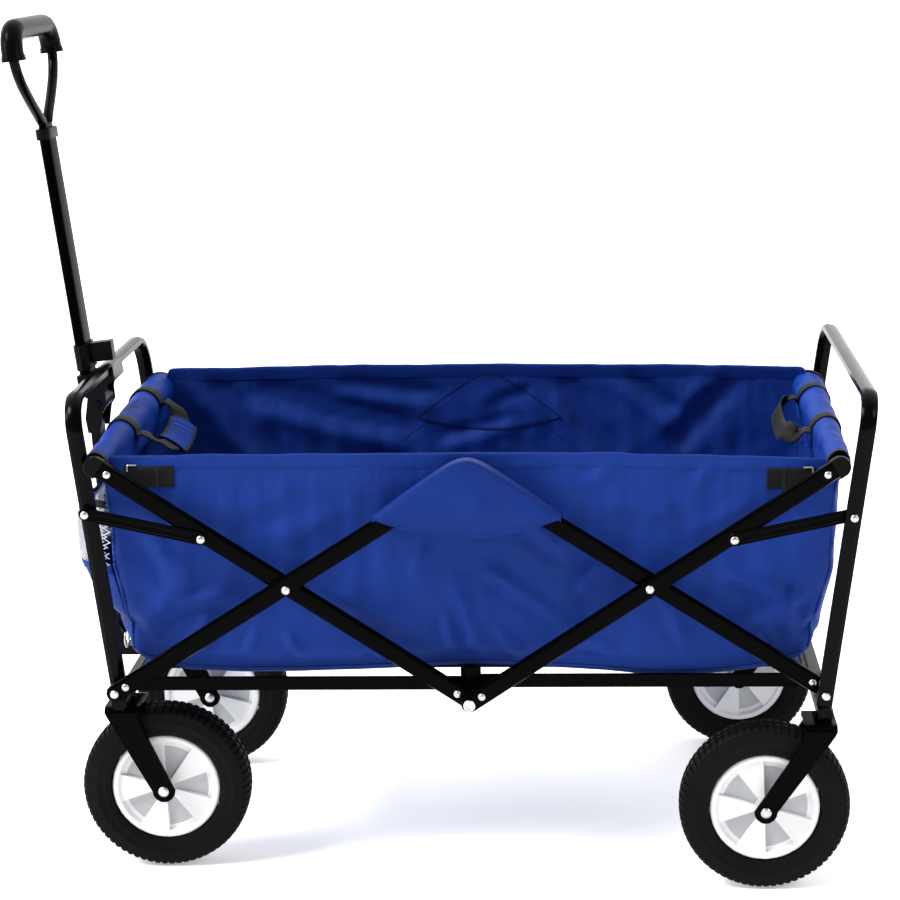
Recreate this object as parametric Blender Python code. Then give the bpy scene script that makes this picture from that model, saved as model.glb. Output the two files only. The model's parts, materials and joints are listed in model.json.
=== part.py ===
"""Folding utility wagon: scissor frame, fabric basket, four wheels, telescopic pull handle.

Metres, +Z up. +X is the rear, -X the front with the pull handle, -Y the near side.
The origin is on the floor, under the middle of the whole bounding box, handle included.
Front is END = -1 and rear is END = +1; near is SIDE = -1 and far is SIDE = +1.
"""
import math

import bmesh
import bpy
from mathutils import Vector

# ---------------------------------------------------------------- driving dimensions
ORIGIN_SHIFT = 0.0360       # the frame is drawn about its scissor, then centred on its whole box
GAP = 0.0003                # clearance between touching pieces
WHEEL_R = 0.100
TYRE_HALF = 0.0225
RIM_HALF = 0.0165
AXLE_R = 0.0050

HUB_Z = 0.2205              # bottom pivot of the scissor, on the centre plane
CROSS_X, CROSS_Z = 0.209, 0.359         # scissor crossing pivots
CORNER_X, CORNER_Z = 0.4115, 0.2345     # lower corner pivots
TOP_X, TOP_Z = 0.4243, 0.5025           # upper ends of the long bars
APEX_Z = 2 * CROSS_Z - HUB_Z            # upper centre pivot, on the centre plane
KNEE_X, KNEE_Z = 0.3051, 0.4184         # where a stay meets the long bar
STAY_ON_POST = 0.2145                   # stay pivot's distance up the post from the corner

BAR_R = 0.0105              # half width of a scissor bar
BAR_HALF_T = 0.0050
OUTER_Y = 0.2375            # centre plane of the outer scissor bars
INNER_Y = 0.2265            # centre plane of the inner scissor bars
PIN_R = 0.0040
HEAD_R = 0.0048
HEAD_H = 0.0026

POST_W = 0.0100             # half width of the hoop tube, along the wagon
POST_T = 0.0060             # half thickness of the hoop tube
BEND_R = 0.0375
TILT = {-1: 6.8, 1: 7.5}                # outward lean of each hoop, degrees
HOOP_RISE = {-1: 0.3429, 1: 0.3510}     # corner pivot to the crossbar, along the post
POST_Y = {-1: 0.2145, 1: 0.2515}

STAY_R = 0.0077
STAY_Y = {-1: (0.2318, 0.2346), 1: (0.2428, 0.2452)}
RAIL_Y = {-1: (0.2005, 0.2075), 1: (0.1925, 0.1995)}
RAIL_Z = (0.2275, 0.2425)
BEAM_W = 0.0086
BEAM_Z = {-1: (0.2078, 0.2210), 1: (0.2048, 0.2208)}

WHEEL_X = {-1: 0.3670, 1: 0.3430}
WHEEL_Y = {-1: 0.172, 1: 0.244}
ARM_IN, ARM_OUT = 0.0275, 0.0315        # fork arm, distance from the wheel's middle plane
CROWN_Z = (0.2005, 0.2045)

LEAN = math.radians(6.8)                # rest lean of the pull handle
HINGE = Vector((-0.4600, 0.0, 0.5345))
STEM_V = -0.0120            # handle axis, behind or ahead of its hinge
GRIP_Y = 0.0970
TUBE_R = 0.0062

BASKET_Y = 0.1985
BASKET_TOP = 0.5110
CLOTH_T = 0.0040
FLOOR_Z = (0.2455, 0.2535)

NAMES = {-1: "front", 1: "rear"}
SIDES = {-1: "near", 1: "far"}

for leftover in list(bpy.data.objects):
    bpy.data.objects.remove(leftover, do_unlink=True)


# ---------------------------------------------------------------- materials
def material(name, colour, roughness, metallic=0.0):
    made = bpy.data.materials.new(name)
    made.use_nodes = True
    shader = made.node_tree.nodes["Principled BSDF"]
    shader.inputs["Base Color"].default_value = (*colour, 1.0)
    shader.inputs["Roughness"].default_value = roughness
    shader.inputs["Metallic"].default_value = metallic
    made.diffuse_color = (*colour, 1.0)
    return made


COAT = material("black_powder_coat", (0.012, 0.012, 0.012), 0.28)
RIVET = material("zinc_rivet", (0.62, 0.62, 0.60), 0.28, 1.0)
PLASTIC = material("black_plastic", (0.015, 0.015, 0.016), 0.42)
GRIP = material("grip_plastic", (0.020, 0.020, 0.022), 0.22)
RUBBER = material("tyre_rubber", (0.014, 0.014, 0.015), 0.70)
RIM = material("rim_plastic", (0.62, 0.63, 0.65), 0.38)
CLOTH = material("blue_polyester", (0.012, 0.052, 0.300), 0.75)


# ---------------------------------------------------------------- bodies (one empty per joint)
def frame_at(name, origin, parent=None):
    holder = bpy.data.objects.new(name, None)
    bpy.context.collection.objects.link(holder)
    holder.empty_display_size = 0.02
    holder.parent = parent
    holder.location = Vector(origin) - (BODY_AT[parent.name] if parent else Vector())
    BODY_AT[name] = Vector(origin)
    return holder


BODY_AT = {}


def along_post(end, distance):
    """Point on a hoop's post, at a distance up from the corner pivot (x, z)."""
    lean = math.radians(TILT[end])
    return (end * (CORNER_X + distance * math.sin(lean)), CORNER_Z + distance * math.cos(lean))


HUB = frame_at("at_hub", (0, 0, HUB_Z))
HUB.location.x += ORIGIN_SHIFT
ARM_A, ARM_B, END_FRAME, STAY, RAIL = {}, {}, {}, {}, {}
for end, word in NAMES.items():
    ARM_A[end] = frame_at(f"at_arm_a_{word}", (0, 0, HUB_Z), HUB)
    ARM_B[end] = frame_at(f"at_arm_b_{word}", (end * CROSS_X, 0, CROSS_Z), ARM_A[end])
    END_FRAME[end] = frame_at(f"at_{word}_frame", (end * CORNER_X, 0, CORNER_Z), ARM_B[end])
    stay_x, stay_z = along_post(end, STAY_ON_POST)
    STAY[end] = frame_at(f"at_stay_{word}", (stay_x, 0, stay_z), END_FRAME[end])
    RAIL[end] = frame_at(f"at_rail_{word}", (end * CORNER_X, 0, CORNER_Z), END_FRAME[end])
TOP_HUB = frame_at("at_top_hub", (0, 0, APEX_Z), ARM_B[-1])
HANDLE = frame_at("at_handle", HINGE, END_FRAME[-1])


def handle_point(v, u, y=0.0):
    """Handle coordinates: u up its axis from the hinge, v across it towards the rear."""
    return HINGE + Vector((v * math.cos(LEAN) - u * math.sin(LEAN), y,
                           v * math.sin(LEAN) + u * math.cos(LEAN)))


SLIDE = frame_at("at_handle_slide", handle_point(STEM_V, 0.330), HANDLE)
LOCK = frame_at("at_lock_collar", handle_point(STEM_V, 0.042), HANDLE)


# ---------------------------------------------------------------- mesh helpers
def settle(name, shape, look, body, smooth=35.0):
    """Turns a bmesh in world coordinates into a named object held by its body's empty."""
    bmesh.ops.recalc_face_normals(shape, faces=shape.faces)
    mesh = bpy.data.meshes.new(name)
    if body:
        bmesh.ops.translate(shape, verts=shape.verts, vec=-BODY_AT[body.name])
    shape.to_mesh(mesh)
    shape.free()
    made = bpy.data.objects.new(name, mesh)
    bpy.context.collection.objects.link(made)
    if look:
        mesh.materials.append(look)
    mesh.shade_smooth()
    mesh.set_sharp_from_angle(angle=math.radians(smooth))
    made.parent = body
    return made


def hide(tool):
    tool.hide_render = True
    tool.display_type = "WIRE"
    return tool


def boolean(target, tool, operation):
    step = target.modifiers.new(f"{operation.lower()}_{tool.name}", "BOOLEAN")
    step.operation = operation
    step.solver = "EXACT"
    step.object = hide(tool)


def prism(shape, outline, y0, y1, bevel=0.0, steps=2):
    """Solid between two Y planes with an outline given as (x, z) points."""
    low = [shape.verts.new((x, y0, z)) for x, z in outline]
    high = [shape.verts.new((x, y1, z)) for x, z in outline]
    caps = [shape.faces.new(low), shape.faces.new(list(reversed(high)))]
    count = len(outline)
    for i in range(count):
        j = (i + 1) % count
        shape.faces.new((low[j], low[i], high[i], high[j]))
    if bevel:
        edges = [edge for cap in caps for edge in cap.edges]
        bmesh.ops.bevel(shape, geom=edges, offset=bevel, segments=steps, profile=0.5,
                        affect="EDGES", clamp_overlap=True)


def capsule(start, stop, radius, count=6):
    """Outline of a bar with round ends, centred on two (x, z) points."""
    heading = math.atan2(stop[1] - start[1], stop[0] - start[0])
    points = []
    for centre, turn in ((stop, heading - math.pi / 2), (start, heading + math.pi / 2)):
        for i in range(count + 1):
            angle = turn + math.pi * i / count
            points.append((centre[0] + radius * math.cos(angle),
                           centre[1] + radius * math.sin(angle)))
    return points


def lathe(shape, profile, centre, axis="Y", count=24, closed=False):
    """Solid of revolution; profile is (radius, along) points, centre in world coordinates."""
    rings = []
    for radius, along in profile:
        ring = []
        for i in range(1 if radius == 0 else count):
            angle = 2 * math.pi * i / count - math.pi / 2
            across, up = radius * math.cos(angle), radius * math.sin(angle)
            local = (across, along, up) if axis == "Y" else (across, up, along)
            ring.append(shape.verts.new(Vector(centre) + Vector(local)))
        rings.append(ring)
    pairs = list(zip(rings, rings[1:]))
    if closed:
        pairs.append((rings[-1], rings[0]))
    for first, second in pairs:
        for i in range(count):
            j = (i + 1) % count
            corners = [first[i % len(first)], first[j % len(first)],
                       second[j % len(second)], second[i % len(second)]]
            shape.faces.new(list(dict.fromkeys(corners)))


def sweep(shape, sections):
    """Closed solid through rings with equal numbers of world points."""
    rings = [[shape.verts.new(point) for point in section] for section in sections]
    count = len(rings[0])
    for first, second in zip(rings, rings[1:]):
        for i in range(count):
            j = (i + 1) % count
            shape.faces.new((first[i], first[j], second[j], second[i]))
    shape.faces.new(list(reversed(rings[0])))
    shape.faces.new(rings[-1])


def stadium(half_w, half_t, count=4):
    """Flat oval section as (wide, thin) points."""
    points = []
    for sign in (1, -1):
        for i in range(count + 1):
            angle = sign * math.pi / 2 - math.pi * i / count
            points.append((sign * (half_w - half_t) + half_t * math.cos(angle),
                           half_t * math.sin(angle)))
    return points


def pins(name, body, places, y0, y1, radius):
    """Hidden tool with one round pin per (x, z), between two Y planes."""
    shape = bmesh.new()
    for x, z in places:
        lathe(shape, [(0, y0), (radius, y0), (radius, y1), (0, y1)], (x, 0, z), count=16)
    return hide(settle(name, shape, None, body))


def drill(target, body, places, y0, y1, radius=PIN_R + 0.00045):
    boolean(target, pins(f"drill_{target.name}", body, places, y0, y1, radius), "DIFFERENCE")


def stud_profile(side, y_in, y_out, inner=None, collar=None, radius=PIN_R, head=HEAD_R,
                 rise=HEAD_H):
    """Pin from |y| = y_in outwards to y_out, with a domed head; a collar gives (y, radius)."""
    rows = []
    if inner:
        rows += [(0, y_in - inner), (head * 0.80, y_in - inner), (head, y_in - inner * 0.5),
                 (head, y_in), (radius, y_in)]
    elif collar:
        rows += [(0, y_in), (collar[1], y_in), (collar[1], collar[0]), (radius, collar[0])]
    else:
        rows += [(0, y_in), (radius, y_in)]
    rows += [(radius, y_out), (head, y_out), (head, y_out + rise * 0.35),
             (head * 0.72, y_out + rise * 0.85), (0, y_out + rise)]
    return [(r, side * y) for r, y in rows]


# ---------------------------------------------------------------- scissor bars and their pins
A_Y = {-1: INNER_Y, 1: OUTER_Y}
B_Y = {-1: OUTER_Y, 1: INNER_Y}


def bar(name, body, look, start, stop, side, y_mid, holes):
    low, high = sorted((side * (y_mid - BAR_HALF_T), side * (y_mid + BAR_HALF_T)))
    shape = bmesh.new()
    prism(shape, capsule(start, stop, BAR_R), low, high, bevel=0.0036)
    made = settle(name, shape, look, body)
    drill(made, body, holes, low - 0.002, high + 0.002)
    return made


for end, word in NAMES.items():
    hub, apex = (0.0, HUB_Z), (0.0, APEX_Z)
    cross = (end * CROSS_X, CROSS_Z)
    top = (end * TOP_X, TOP_Z)
    corner = (end * CORNER_X, CORNER_Z)
    for side, hand in SIDES.items():
        bar(f"long_bar_{word}_{hand}", ARM_A[end], COAT, hub, top, side, A_Y[end],
            [hub, cross, top])
        short = bar(f"short_bar_{word}_{hand}", ARM_B[end], COAT, corner, apex, side, B_Y[end],
                    [corner, cross, apex] if end > 0 else [corner, cross])
        if end < 0:
            shape = bmesh.new()
            lathe(shape, [(0, side * 0.2195), (HEAD_R, side * 0.2195), (HEAD_R, side * 0.2211),
                          (PIN_R, side * 0.2211), (PIN_R, side * 0.2400), (0, side * 0.2400)],
                  (0, 0, APEX_Z), count=16)
            boolean(short, settle(f"apex_stud_{hand}", shape, None, ARM_B[end]), "UNION")
        shape = bmesh.new()
        lathe(shape, stud_profile(side, INNER_Y - BAR_HALF_T - GAP, OUTER_Y + BAR_HALF_T + GAP,
                                  inner=0.0020), (cross[0], 0, cross[1]), count=16)
        settle(f"cross_rivet_{word}_{hand}", shape, RIVET, ARM_B[end])

# bottom cross tube, with the two big pivot bolts turned on its ends
HUB_HEAD = 0.0065
shape = bmesh.new()
edge = INNER_Y - BAR_HALF_T - GAP
cap = OUTER_Y + BAR_HALF_T + GAP
profile = [(0, -cap - 0.0036), (HUB_HEAD * 0.7, -cap - 0.0032), (HUB_HEAD, -cap - 0.0014),
           (HUB_HEAD, -cap), (PIN_R, -cap), (PIN_R, -edge), (0.0060, -edge)]
lathe(shape, profile + [(r, -y) for r, y in reversed(profile)], (0, 0, HUB_Z), count=20)
settle("bottom_cross_tube", shape, COAT, HUB)

# cross tubes that carry the basket's two ends
for end, word in NAMES.items():
    shape = bmesh.new()
    edge = A_Y[end] - BAR_HALF_T - GAP
    cap = A_Y[end] + BAR_HALF_T + GAP
    profile = [(0, -cap - 0.0016), (HEAD_R, -cap - 0.0012), (HEAD_R, -cap), (PIN_R, -cap),
               (PIN_R, -edge), (0.0080, -edge)]
    lathe(shape, profile + [(r, -y) for r, y in reversed(profile)], (end * TOP_X, 0, TOP_Z),
          count=16)
    settle(f"top_cross_tube_{word}", shape, COAT, ARM_A[end])

# ---------------------------------------------------------------- end frames
for end, word in NAMES.items():
    lean = math.radians(TILT[end])
    up = Vector((end * math.sin(lean), 0, math.cos(lean)))
    across = Vector((end * math.cos(lean), 0, -math.sin(lean)))
    foot = Vector((end * CORNER_X, 0, CORNER_Z))
    half, rise = POST_Y[end], HOOP_RISE[end]
    path = [(-half, -0.0116, 0.0)]
    for turn in range(7):
        angle = math.pi / 2 * turn / 6
        path.append((-half + BEND_R * (1 - math.cos(angle)),
                     rise - BEND_R * (1 - math.sin(angle)), angle))
    path += [(-y, height, math.pi - angle) for y, height, angle in reversed(path)]
    sections = []
    for y, height, angle in path:
        centre = foot + up * height + Vector((0, y, 0))
        normal = Vector((0, -math.cos(angle), 0)) + up * math.sin(angle)
        sections.append([centre + across * wide + normal * thin
                         for wide, thin in stadium(POST_W, POST_T, 3)])
    shape = bmesh.new()
    sweep(shape, sections)
    hoop = settle(f"hoop_{word}", shape, COAT, END_FRAME[end])
    pivots = [(end * CORNER_X, CORNER_Z), along_post(end, STAY_ON_POST)]
    drill(hoop, END_FRAME[end], pivots, -0.27, 0.27)

    low, high = BEAM_Z[end]
    reach = POST_Y[end] + POST_T
    shape = bmesh.new()
    section = [(end * CORNER_X + x, (low + high) / 2 + z)
               for x, z in ((-BEAM_W, (low - high) / 2), (BEAM_W, (low - high) / 2),
                            (BEAM_W, (high - low) / 2), (-BEAM_W, (high - low) / 2))]
    prism(shape, section, -reach, reach)
    bmesh.ops.bevel(shape, geom=[e for e in shape.edges if abs(e.verts[0].co.y - e.verts[1].co.y)
                                 > 0.1], offset=0.0025, segments=2, affect="EDGES")
    settle(f"lower_beam_{word}", shape, COAT, END_FRAME[end])

    # corner bolts: bar, post and rail on one pin
    for side, hand in SIDES.items():
        if end < 0:
            rows = stud_profile(side, RAIL_Y[end][0] - GAP, OUTER_Y + BAR_HALF_T + GAP,
                                inner=0.0016)
        else:
            rows = stud_profile(side, RAIL_Y[end][0] - GAP, POST_Y[end] + POST_T + GAP,
                                inner=0.0016)
        shape = bmesh.new()
        lathe(shape, rows, (end * CORNER_X, 0, CORNER_Z), count=16)
        settle(f"corner_bolt_{word}_{hand}", shape, RIVET, END_FRAME[end])

    # stays: flat strips in front of the long bar, one rivet through the post, one head at the knee
    hold = along_post(end, STAY_ON_POST)
    knee = (end * KNEE_X, KNEE_Z)
    post_in, post_out = POST_Y[end] - POST_T - GAP, POST_Y[end] + POST_T + GAP
    for side, hand in SIDES.items():
        y_in, y_out = STAY_Y[end]
        middle = (y_in + y_out) / 2
        shape = bmesh.new()
        prism(shape, capsule(hold, knee, STAY_R, 5), *sorted((side * y_in, side * y_out)),
              bevel=0.0006, steps=1)
        stay = settle(f"stay_{word}_{hand}", shape, COAT, STAY[end])
        outer_head = [(HEAD_R, middle), (HEAD_R, y_out + HEAD_H * 0.35),
                      (HEAD_R * 0.72, y_out + HEAD_H * 0.85), (0, y_out + HEAD_H)]
        if end < 0:
            rows = [(0, post_in - HEAD_H * 0.7), (HEAD_R * 0.8, post_in - HEAD_H * 0.6),
                    (HEAD_R, post_in), (PIN_R, post_in), (PIN_R, post_out), (0.0060, post_out),
                    (0.0060, middle)] + outer_head
        else:
            rows = [(0, middle), (PIN_R, middle), (PIN_R, post_out), (HEAD_R, post_out),
                    (HEAD_R, post_out + HEAD_H * 0.35), (HEAD_R * 0.72, post_out + HEAD_H * 0.85),
                    (0, post_out + HEAD_H)]
        shape = bmesh.new()
        lathe(shape, [(r, side * y) for r, y in rows], (hold[0], 0, hold[1]), count=14)
        boolean(stay, settle(f"stay_stud_{word}_{hand}", shape, None, STAY[end]), "UNION")
        shape = bmesh.new()
        rows = [(0, middle)] + outer_head
        lathe(shape, [(r, side * y) for r, y in rows], (knee[0], 0, knee[1]), count=14)
        boolean(stay, settle(f"knee_head_{word}_{hand}", shape, None, STAY[end]), "UNION")

    # floor rails, lapped past each other at the middle
    low, high = RAIL_Z
    overlap = 0.0120
    for side, hand in SIDES.items():
        outline = [(-end * overlap, low), (end * 0.400, low)]
        for i in range(7):
            angle = -math.pi / 2 + math.pi * i / 6
            outline.append((end * (CORNER_X + 0.0078 * math.cos(angle)),
                            CORNER_Z + 0.0078 * math.sin(angle)))
        outline += [(end * 0.400, high), (end * 0.0060, high), (end * 0.0060, 0.2545),
                    (-end * overlap, 0.2545)]
        shape = bmesh.new()
        y_in, y_out = RAIL_Y[end]
        prism(shape, outline, *sorted((side * y_in, side * y_out)))
        rail = settle(f"floor_rail_{word}_{hand}", shape, COAT, RAIL[end])
        drill(rail, RAIL[end], [(end * CORNER_X, CORNER_Z)], side * (y_in - 0.002),
              side * (y_out + 0.002))

# ---------------------------------------------------------------- wheels and forks
TREAD = [(0.0651, 0.0168), (0.0735, 0.0215), (0.0870, TYRE_HALF), (0.0965, 0.0190),
         (WHEEL_R, 0.0125)]
SPOKES = 5


def rim_rows(sunk):
    face = 0.0118 if sunk else 0.0142
    return [(AXLE_R + 0.0004, 0.0262), (0.0125, 0.0262), (0.0150, 0.0160),
            (0.0200, face), (0.0545, face + 0.0006), (0.0580, 0.0152), (0.0646, RIM_HALF)]


def fork_sections(end, hub_x, mid_y):
    """Rings along one bent strip: up the near arm, over the crown and down the far arm."""
    hub_z, end_r = WHEEL_R, 0.0135
    top_in, top_out = CROWN_Z[0], CROWN_Z[1]
    crown_mid = end * CORNER_X + (-0.0010 if end < 0 else -0.0060)
    crown_half = 0.0205 if end < 0 else 0.0185
    rows = []
    for i in range(5):
        angle = -math.pi / 2 + math.pi / 2 * i / 4
        rows.append((hub_z + end_r * math.sin(angle), hub_x, max(end_r * math.cos(angle), 0.003)))
    rows.append((0.1920, crown_mid, crown_half * 0.86))
    arm = ARM_IN, ARM_OUT
    sections = []
    for z, x, half in rows:
        sections.append([(x - half, arm[1], z), (x + half, arm[1], z),
                         (x + half, arm[0], z), (x - half, arm[0], z)])
    inner_r, thick = 0.0030, arm[1] - arm[0]
    for i in range(4):
        angle = math.pi / 2 * i / 3
        ring = []
        for sign, reach in ((-1, inner_r + thick), (1, inner_r + thick), (1, inner_r),
                            (-1, inner_r)):
            ring.append((crown_mid + sign * crown_half,
                         arm[0] - inner_r + reach * math.cos(angle),
                         top_in - inner_r + reach * math.sin(angle)))
        sections.append(ring)
    mirrored = [[(x, -y, z) for x, y, z in ring] for ring in reversed(sections)]
    return [[Vector((x, mid_y - y, z)) for x, y, z in ring] for ring in sections + mirrored]


for end, word in NAMES.items():
    for side, hand in SIDES.items():
        hub_x, mid_y = end * WHEEL_X[end], side * WHEEL_Y[end]
        tag = f"{word}_{hand}"
        if end < 0:
            holder = frame_at(f"at_caster_{hand}", (-CORNER_X, mid_y, BEAM_Z[end][0]),
                              END_FRAME[end])
        else:
            holder = END_FRAME[end]
        spin = frame_at(f"at_wheel_{tag}", (hub_x, mid_y, WHEEL_R), holder)

        rows = TREAD + [(r, -y) for r, y in reversed(TREAD)]
        shape = bmesh.new()
        lathe(shape, rows, (hub_x, mid_y, WHEEL_R), count=40, closed=True)
        settle(f"tyre_{tag}", shape, RUBBER, spin)

        shape = bmesh.new()
        count = SPOKES * 6
        loops = []
        for i in range(count):
            angle = 2 * math.pi * (i + 0.5) / count
            rows = rim_rows((i // 3) % 2 == 1)
            rows = rows + [(r, -y) for r, y in reversed(rows)]
            loops.append([shape.verts.new((hub_x + r * math.cos(angle), mid_y + y,
                                           WHEEL_R + r * math.sin(angle))) for r, y in rows])
        for i in range(count):
            first, second = loops[i], loops[(i + 1) % count]
            for j in range(len(first)):
                k = (j + 1) % len(first)
                shape.faces.new((first[j], second[j], second[k], first[k]))
        settle(f"rim_{tag}", shape, RIM, spin, smooth=22.0)

        shape = bmesh.new()
        sweep(shape, fork_sections(end, hub_x, mid_y))
        fork = settle(f"fork_{tag}", shape, COAT, holder)
        drill(fork, holder, [(hub_x, WHEEL_R)], mid_y - 0.04, mid_y + 0.04, AXLE_R + GAP)
        if end < 0:
            shape = bmesh.new()
            lathe(shape, [(0, CROWN_Z[0] + 0.001), (0.0082, CROWN_Z[0] + 0.001),
                          (0.0082, BEAM_Z[end][0] - GAP), (0, BEAM_Z[end][0] - GAP)],
                  (-CORNER_X, mid_y, 0), axis="Z", count=20)
            boolean(fork, settle(f"swivel_boss_{hand}", shape, None, holder), "UNION")

        head = ARM_OUT + GAP
        rows = [(0, -head - 0.0040), (0.0040, -head - 0.0036), (0.0062, -head - 0.0018),
                (0.0062, -head), (AXLE_R, -head)]
        shape = bmesh.new()
        lathe(shape, rows + [(r, -y) for r, y in reversed(rows)], (hub_x, mid_y, WHEEL_R),
              count=16)
        settle(f"axle_{tag}", shape, RIVET, holder)

# ---------------------------------------------------------------- pull handle
def handle_prism(name, outline, y0, y1, look, body, bevel=0.0, smooth=35.0):
    """Solid with an outline in handle coordinates (v, u), between two Y planes."""
    shape = bmesh.new()
    flat = []
    for v, u in outline:
        point = handle_point(v, u)
        flat.append((point.x, point.z))
    prism(shape, flat, y0, y1, bevel=bevel, steps=2)
    return settle(name, shape, look, body, smooth)


def handle_loft(name, rows, look, body, smooth=35.0):
    """Solid through flat oval rings at (u, half depth along Y, half width)."""
    shape = bmesh.new()
    sweep(shape, [[handle_point(STEM_V + thin, u, wide) for wide, thin in stadium(deep, half, 4)]
                  for u, deep, half in rows])
    return settle(name, shape, look, body, smooth)


front = END_FRAME[-1]
top_z, bottom_z = 0.5080, 0.2090
shape = bmesh.new()
post_outline = [(-0.4744, top_z), (-0.4612, top_z), (-0.4482, 0.2210), (-0.4204, 0.2205),
                (-0.4204, bottom_z), (-0.4592, bottom_z)]
prism(shape, post_outline, -0.0120, 0.0120)
settle("centre_post", shape, COAT, front)

CHEEK = [(-0.0183, -0.0163), (-0.0177, -0.0346), (-0.0028, -0.0364), (0.0040, -0.0119),
         (0.0097, -0.0047), (0.0104, 0.0114), (0.0140, 0.0200), (0.0254, 0.0270),
         (0.0254, 0.0328), (-0.0020, 0.0328), (-0.0090, 0.0180)]
bracket = handle_prism("hinge_bracket", [(0.0229, 0.0260), (0.0254, 0.0260), (0.0254, 0.0440),
                                         (0.0229, 0.0440)], -0.0285, 0.0285, COAT, front)
for side, hand in SIDES.items():
    y0, y1 = sorted((side * 0.0256, side * 0.0285))
    boolean(bracket, handle_prism(f"cheek_{hand}", CHEEK, y0, y1, None, front), "UNION")
hinge_rows = [(0, -0.0312), (0.0036, -0.0308), (HEAD_R, -0.0294), (HEAD_R, -0.0280),
              (PIN_R, -0.0280)]
shape = bmesh.new()
lathe(shape, hinge_rows + [(r, -y) for r, y in reversed(hinge_rows)], HINGE, count=16)
boolean(bracket, settle("hinge_pin", shape, None, front), "UNION")

tongue = [(-0.0210, 0.0137), (-0.0210, 0.0360), (-0.0030, 0.0360), (-0.0030, 0.0200)]
for i in range(9):
    angle = math.radians(50 - 270 * i / 8 * 0.95)
    tongue.append((0.0098 * math.cos(angle), 0.0098 * math.sin(angle)))
socket = handle_prism("handle_socket", tongue, -0.0250, 0.0250, PLASTIC, HANDLE)
drill(socket, HANDLE, [(HINGE.x, HINGE.z)], -0.03, 0.03)


def handle_tube(name, u0, u1, outer, inner, look, body):
    """Open flat oval tube between two heights; outer and inner are (depth, width) halves."""
    shape = bmesh.new()
    loops = []
    for u, (deep, half) in ((u0, outer), (u1, outer), (u1, inner), (u0, inner)):
        loops.append([shape.verts.new(handle_point(STEM_V + thin, u, wide))
                      for wide, thin in stadium(deep, half, 4)])
    count = len(loops[0])
    for row in range(4):
        first, second = loops[row], loops[(row + 1) % 4]
        for i in range(count):
            j = (i + 1) % count
            shape.faces.new((first[i], first[j], second[j], second[i]))
    return settle(name, shape, look, body)


handle_tube("outer_stem", 0.0363, 0.3240, (0.0230, 0.0065), (0.0217, 0.0052), COAT, HANDLE)
handle_tube("stem_cap", 0.3243, 0.3370, (0.0275, 0.0090), (0.0217, 0.0052), PLASTIC, HANDLE)

collar = handle_tube("lock_collar", 0.0420, 0.0728, (0.0265, 0.0087), (0.0234, 0.0069),
                     PLASTIC, LOCK)
wing = [(STEM_V + 0.0078, 0.0485), (0.0232, 0.0485), (0.0238, 0.0722), (STEM_V + 0.0078, 0.0722)]
boolean(collar, handle_prism("lock_wing", wing, -0.0080, 0.0080, None, LOCK), "UNION")

handle_loft("inner_stem", [(0.1000, 0.0212, 0.0047), (0.3420, 0.0212, 0.0047)], COAT, SLIDE)

FORK_PATH = [(0.3423, 0.0138), (0.3480, 0.0190), (0.3560, 0.0300), (0.3680, 0.0480),
             (0.3800, 0.0640), (0.3930, 0.0800), (0.4060, 0.0908), (0.4140, 0.0952),
             (0.4200, GRIP_Y), (0.4290, GRIP_Y)]
for side, hand in SIDES.items():
    sections = []
    for i, (u, y) in enumerate(FORK_PATH):
        before, after = FORK_PATH[max(i - 1, 0)], FORK_PATH[min(i + 1, len(FORK_PATH) - 1)]
        run, climb = after[1] - before[1], after[0] - before[0]
        if i == 0 or i > len(FORK_PATH) - 3:
            run, climb = 0.0, 1.0
        size = math.hypot(run, climb)
        ring = []
        for k in range(12):
            angle = 2 * math.pi * k / 12
            out = TUBE_R * math.cos(angle)
            ring.append(handle_point(STEM_V + TUBE_R * math.sin(angle), u - out * run / size,
                                     side * (y + out * climb / size)))
        sections.append(ring)
    shape = bmesh.new()
    sweep(shape, sections)
    settle(f"handle_fork_{hand}", shape, COAT, SLIDE)

GRIP_R = 0.0128
path = [(0.4220, -GRIP_Y, 0.0, 1.12), (0.4270, -GRIP_Y, 0.0, 1.08), (0.4300, -GRIP_Y, 0.0, 1.0)]
bend = 0.0270
for i in range(7):
    angle = math.pi / 2 * i / 6
    path.append((0.4300 + bend * math.sin(angle), -GRIP_Y + bend * (1 - math.cos(angle)),
                 angle, 1.0))
path += [(u, -y, math.pi - angle, size) for u, y, angle, size in reversed(path)]
sections = []
for u, y, angle, size in path:
    ring = []
    for k in range(14):
        turn = 2 * math.pi * k / 14
        out = GRIP_R * size * math.cos(turn)
        ring.append(handle_point(STEM_V + GRIP_R * size * math.sin(turn), u + out * math.sin(angle),
                                 y - out * math.cos(angle)))
    sections.append(ring)
shape = bmesh.new()
sweep(shape, sections)
grip = settle("grip", shape, GRIP, SLIDE)
shape = bmesh.new()
for side in (-1, 1):
    rings = []
    for u in (0.4190, 0.4293):
        rings.append([handle_point(STEM_V + (TUBE_R + GAP) * math.sin(2 * math.pi * k / 12), u,
                                   side * GRIP_Y + (TUBE_R + GAP) * math.cos(2 * math.pi * k / 12))
                      for k in range(12)])
    sweep(shape, rings)
boolean(grip, settle("grip_sockets", shape, None, SLIDE), "DIFFERENCE")

# ---------------------------------------------------------------- basket, floor and pocket
WALL_ROWS = ((0.2580, 0.3960, 0.1900), (0.3900, 0.4100, 0.1960), (BASKET_TOP, 0.4125, BASKET_Y))
shape = bmesh.new()
loops = []
for inset, rows in ((0.0, WALL_ROWS), (CLOTH_T, tuple(reversed(WALL_ROWS)))):
    for z, half_x, half_y in rows:
        half_x, half_y = half_x - inset, half_y - inset
        loops.append([shape.verts.new((sx * half_x, sy * half_y, z))
                      for sx, sy in ((-1, -1), (1, -1), (1, 1), (-1, 1))])
for row in range(len(loops)):
    first, second = loops[row], loops[(row + 1) % len(loops)]
    for i in range(4):
        j = (i + 1) % 4
        shape.faces.new((first[i], first[j], second[j], second[i]))
settle("basket_walls", shape, CLOTH, TOP_HUB)

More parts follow.
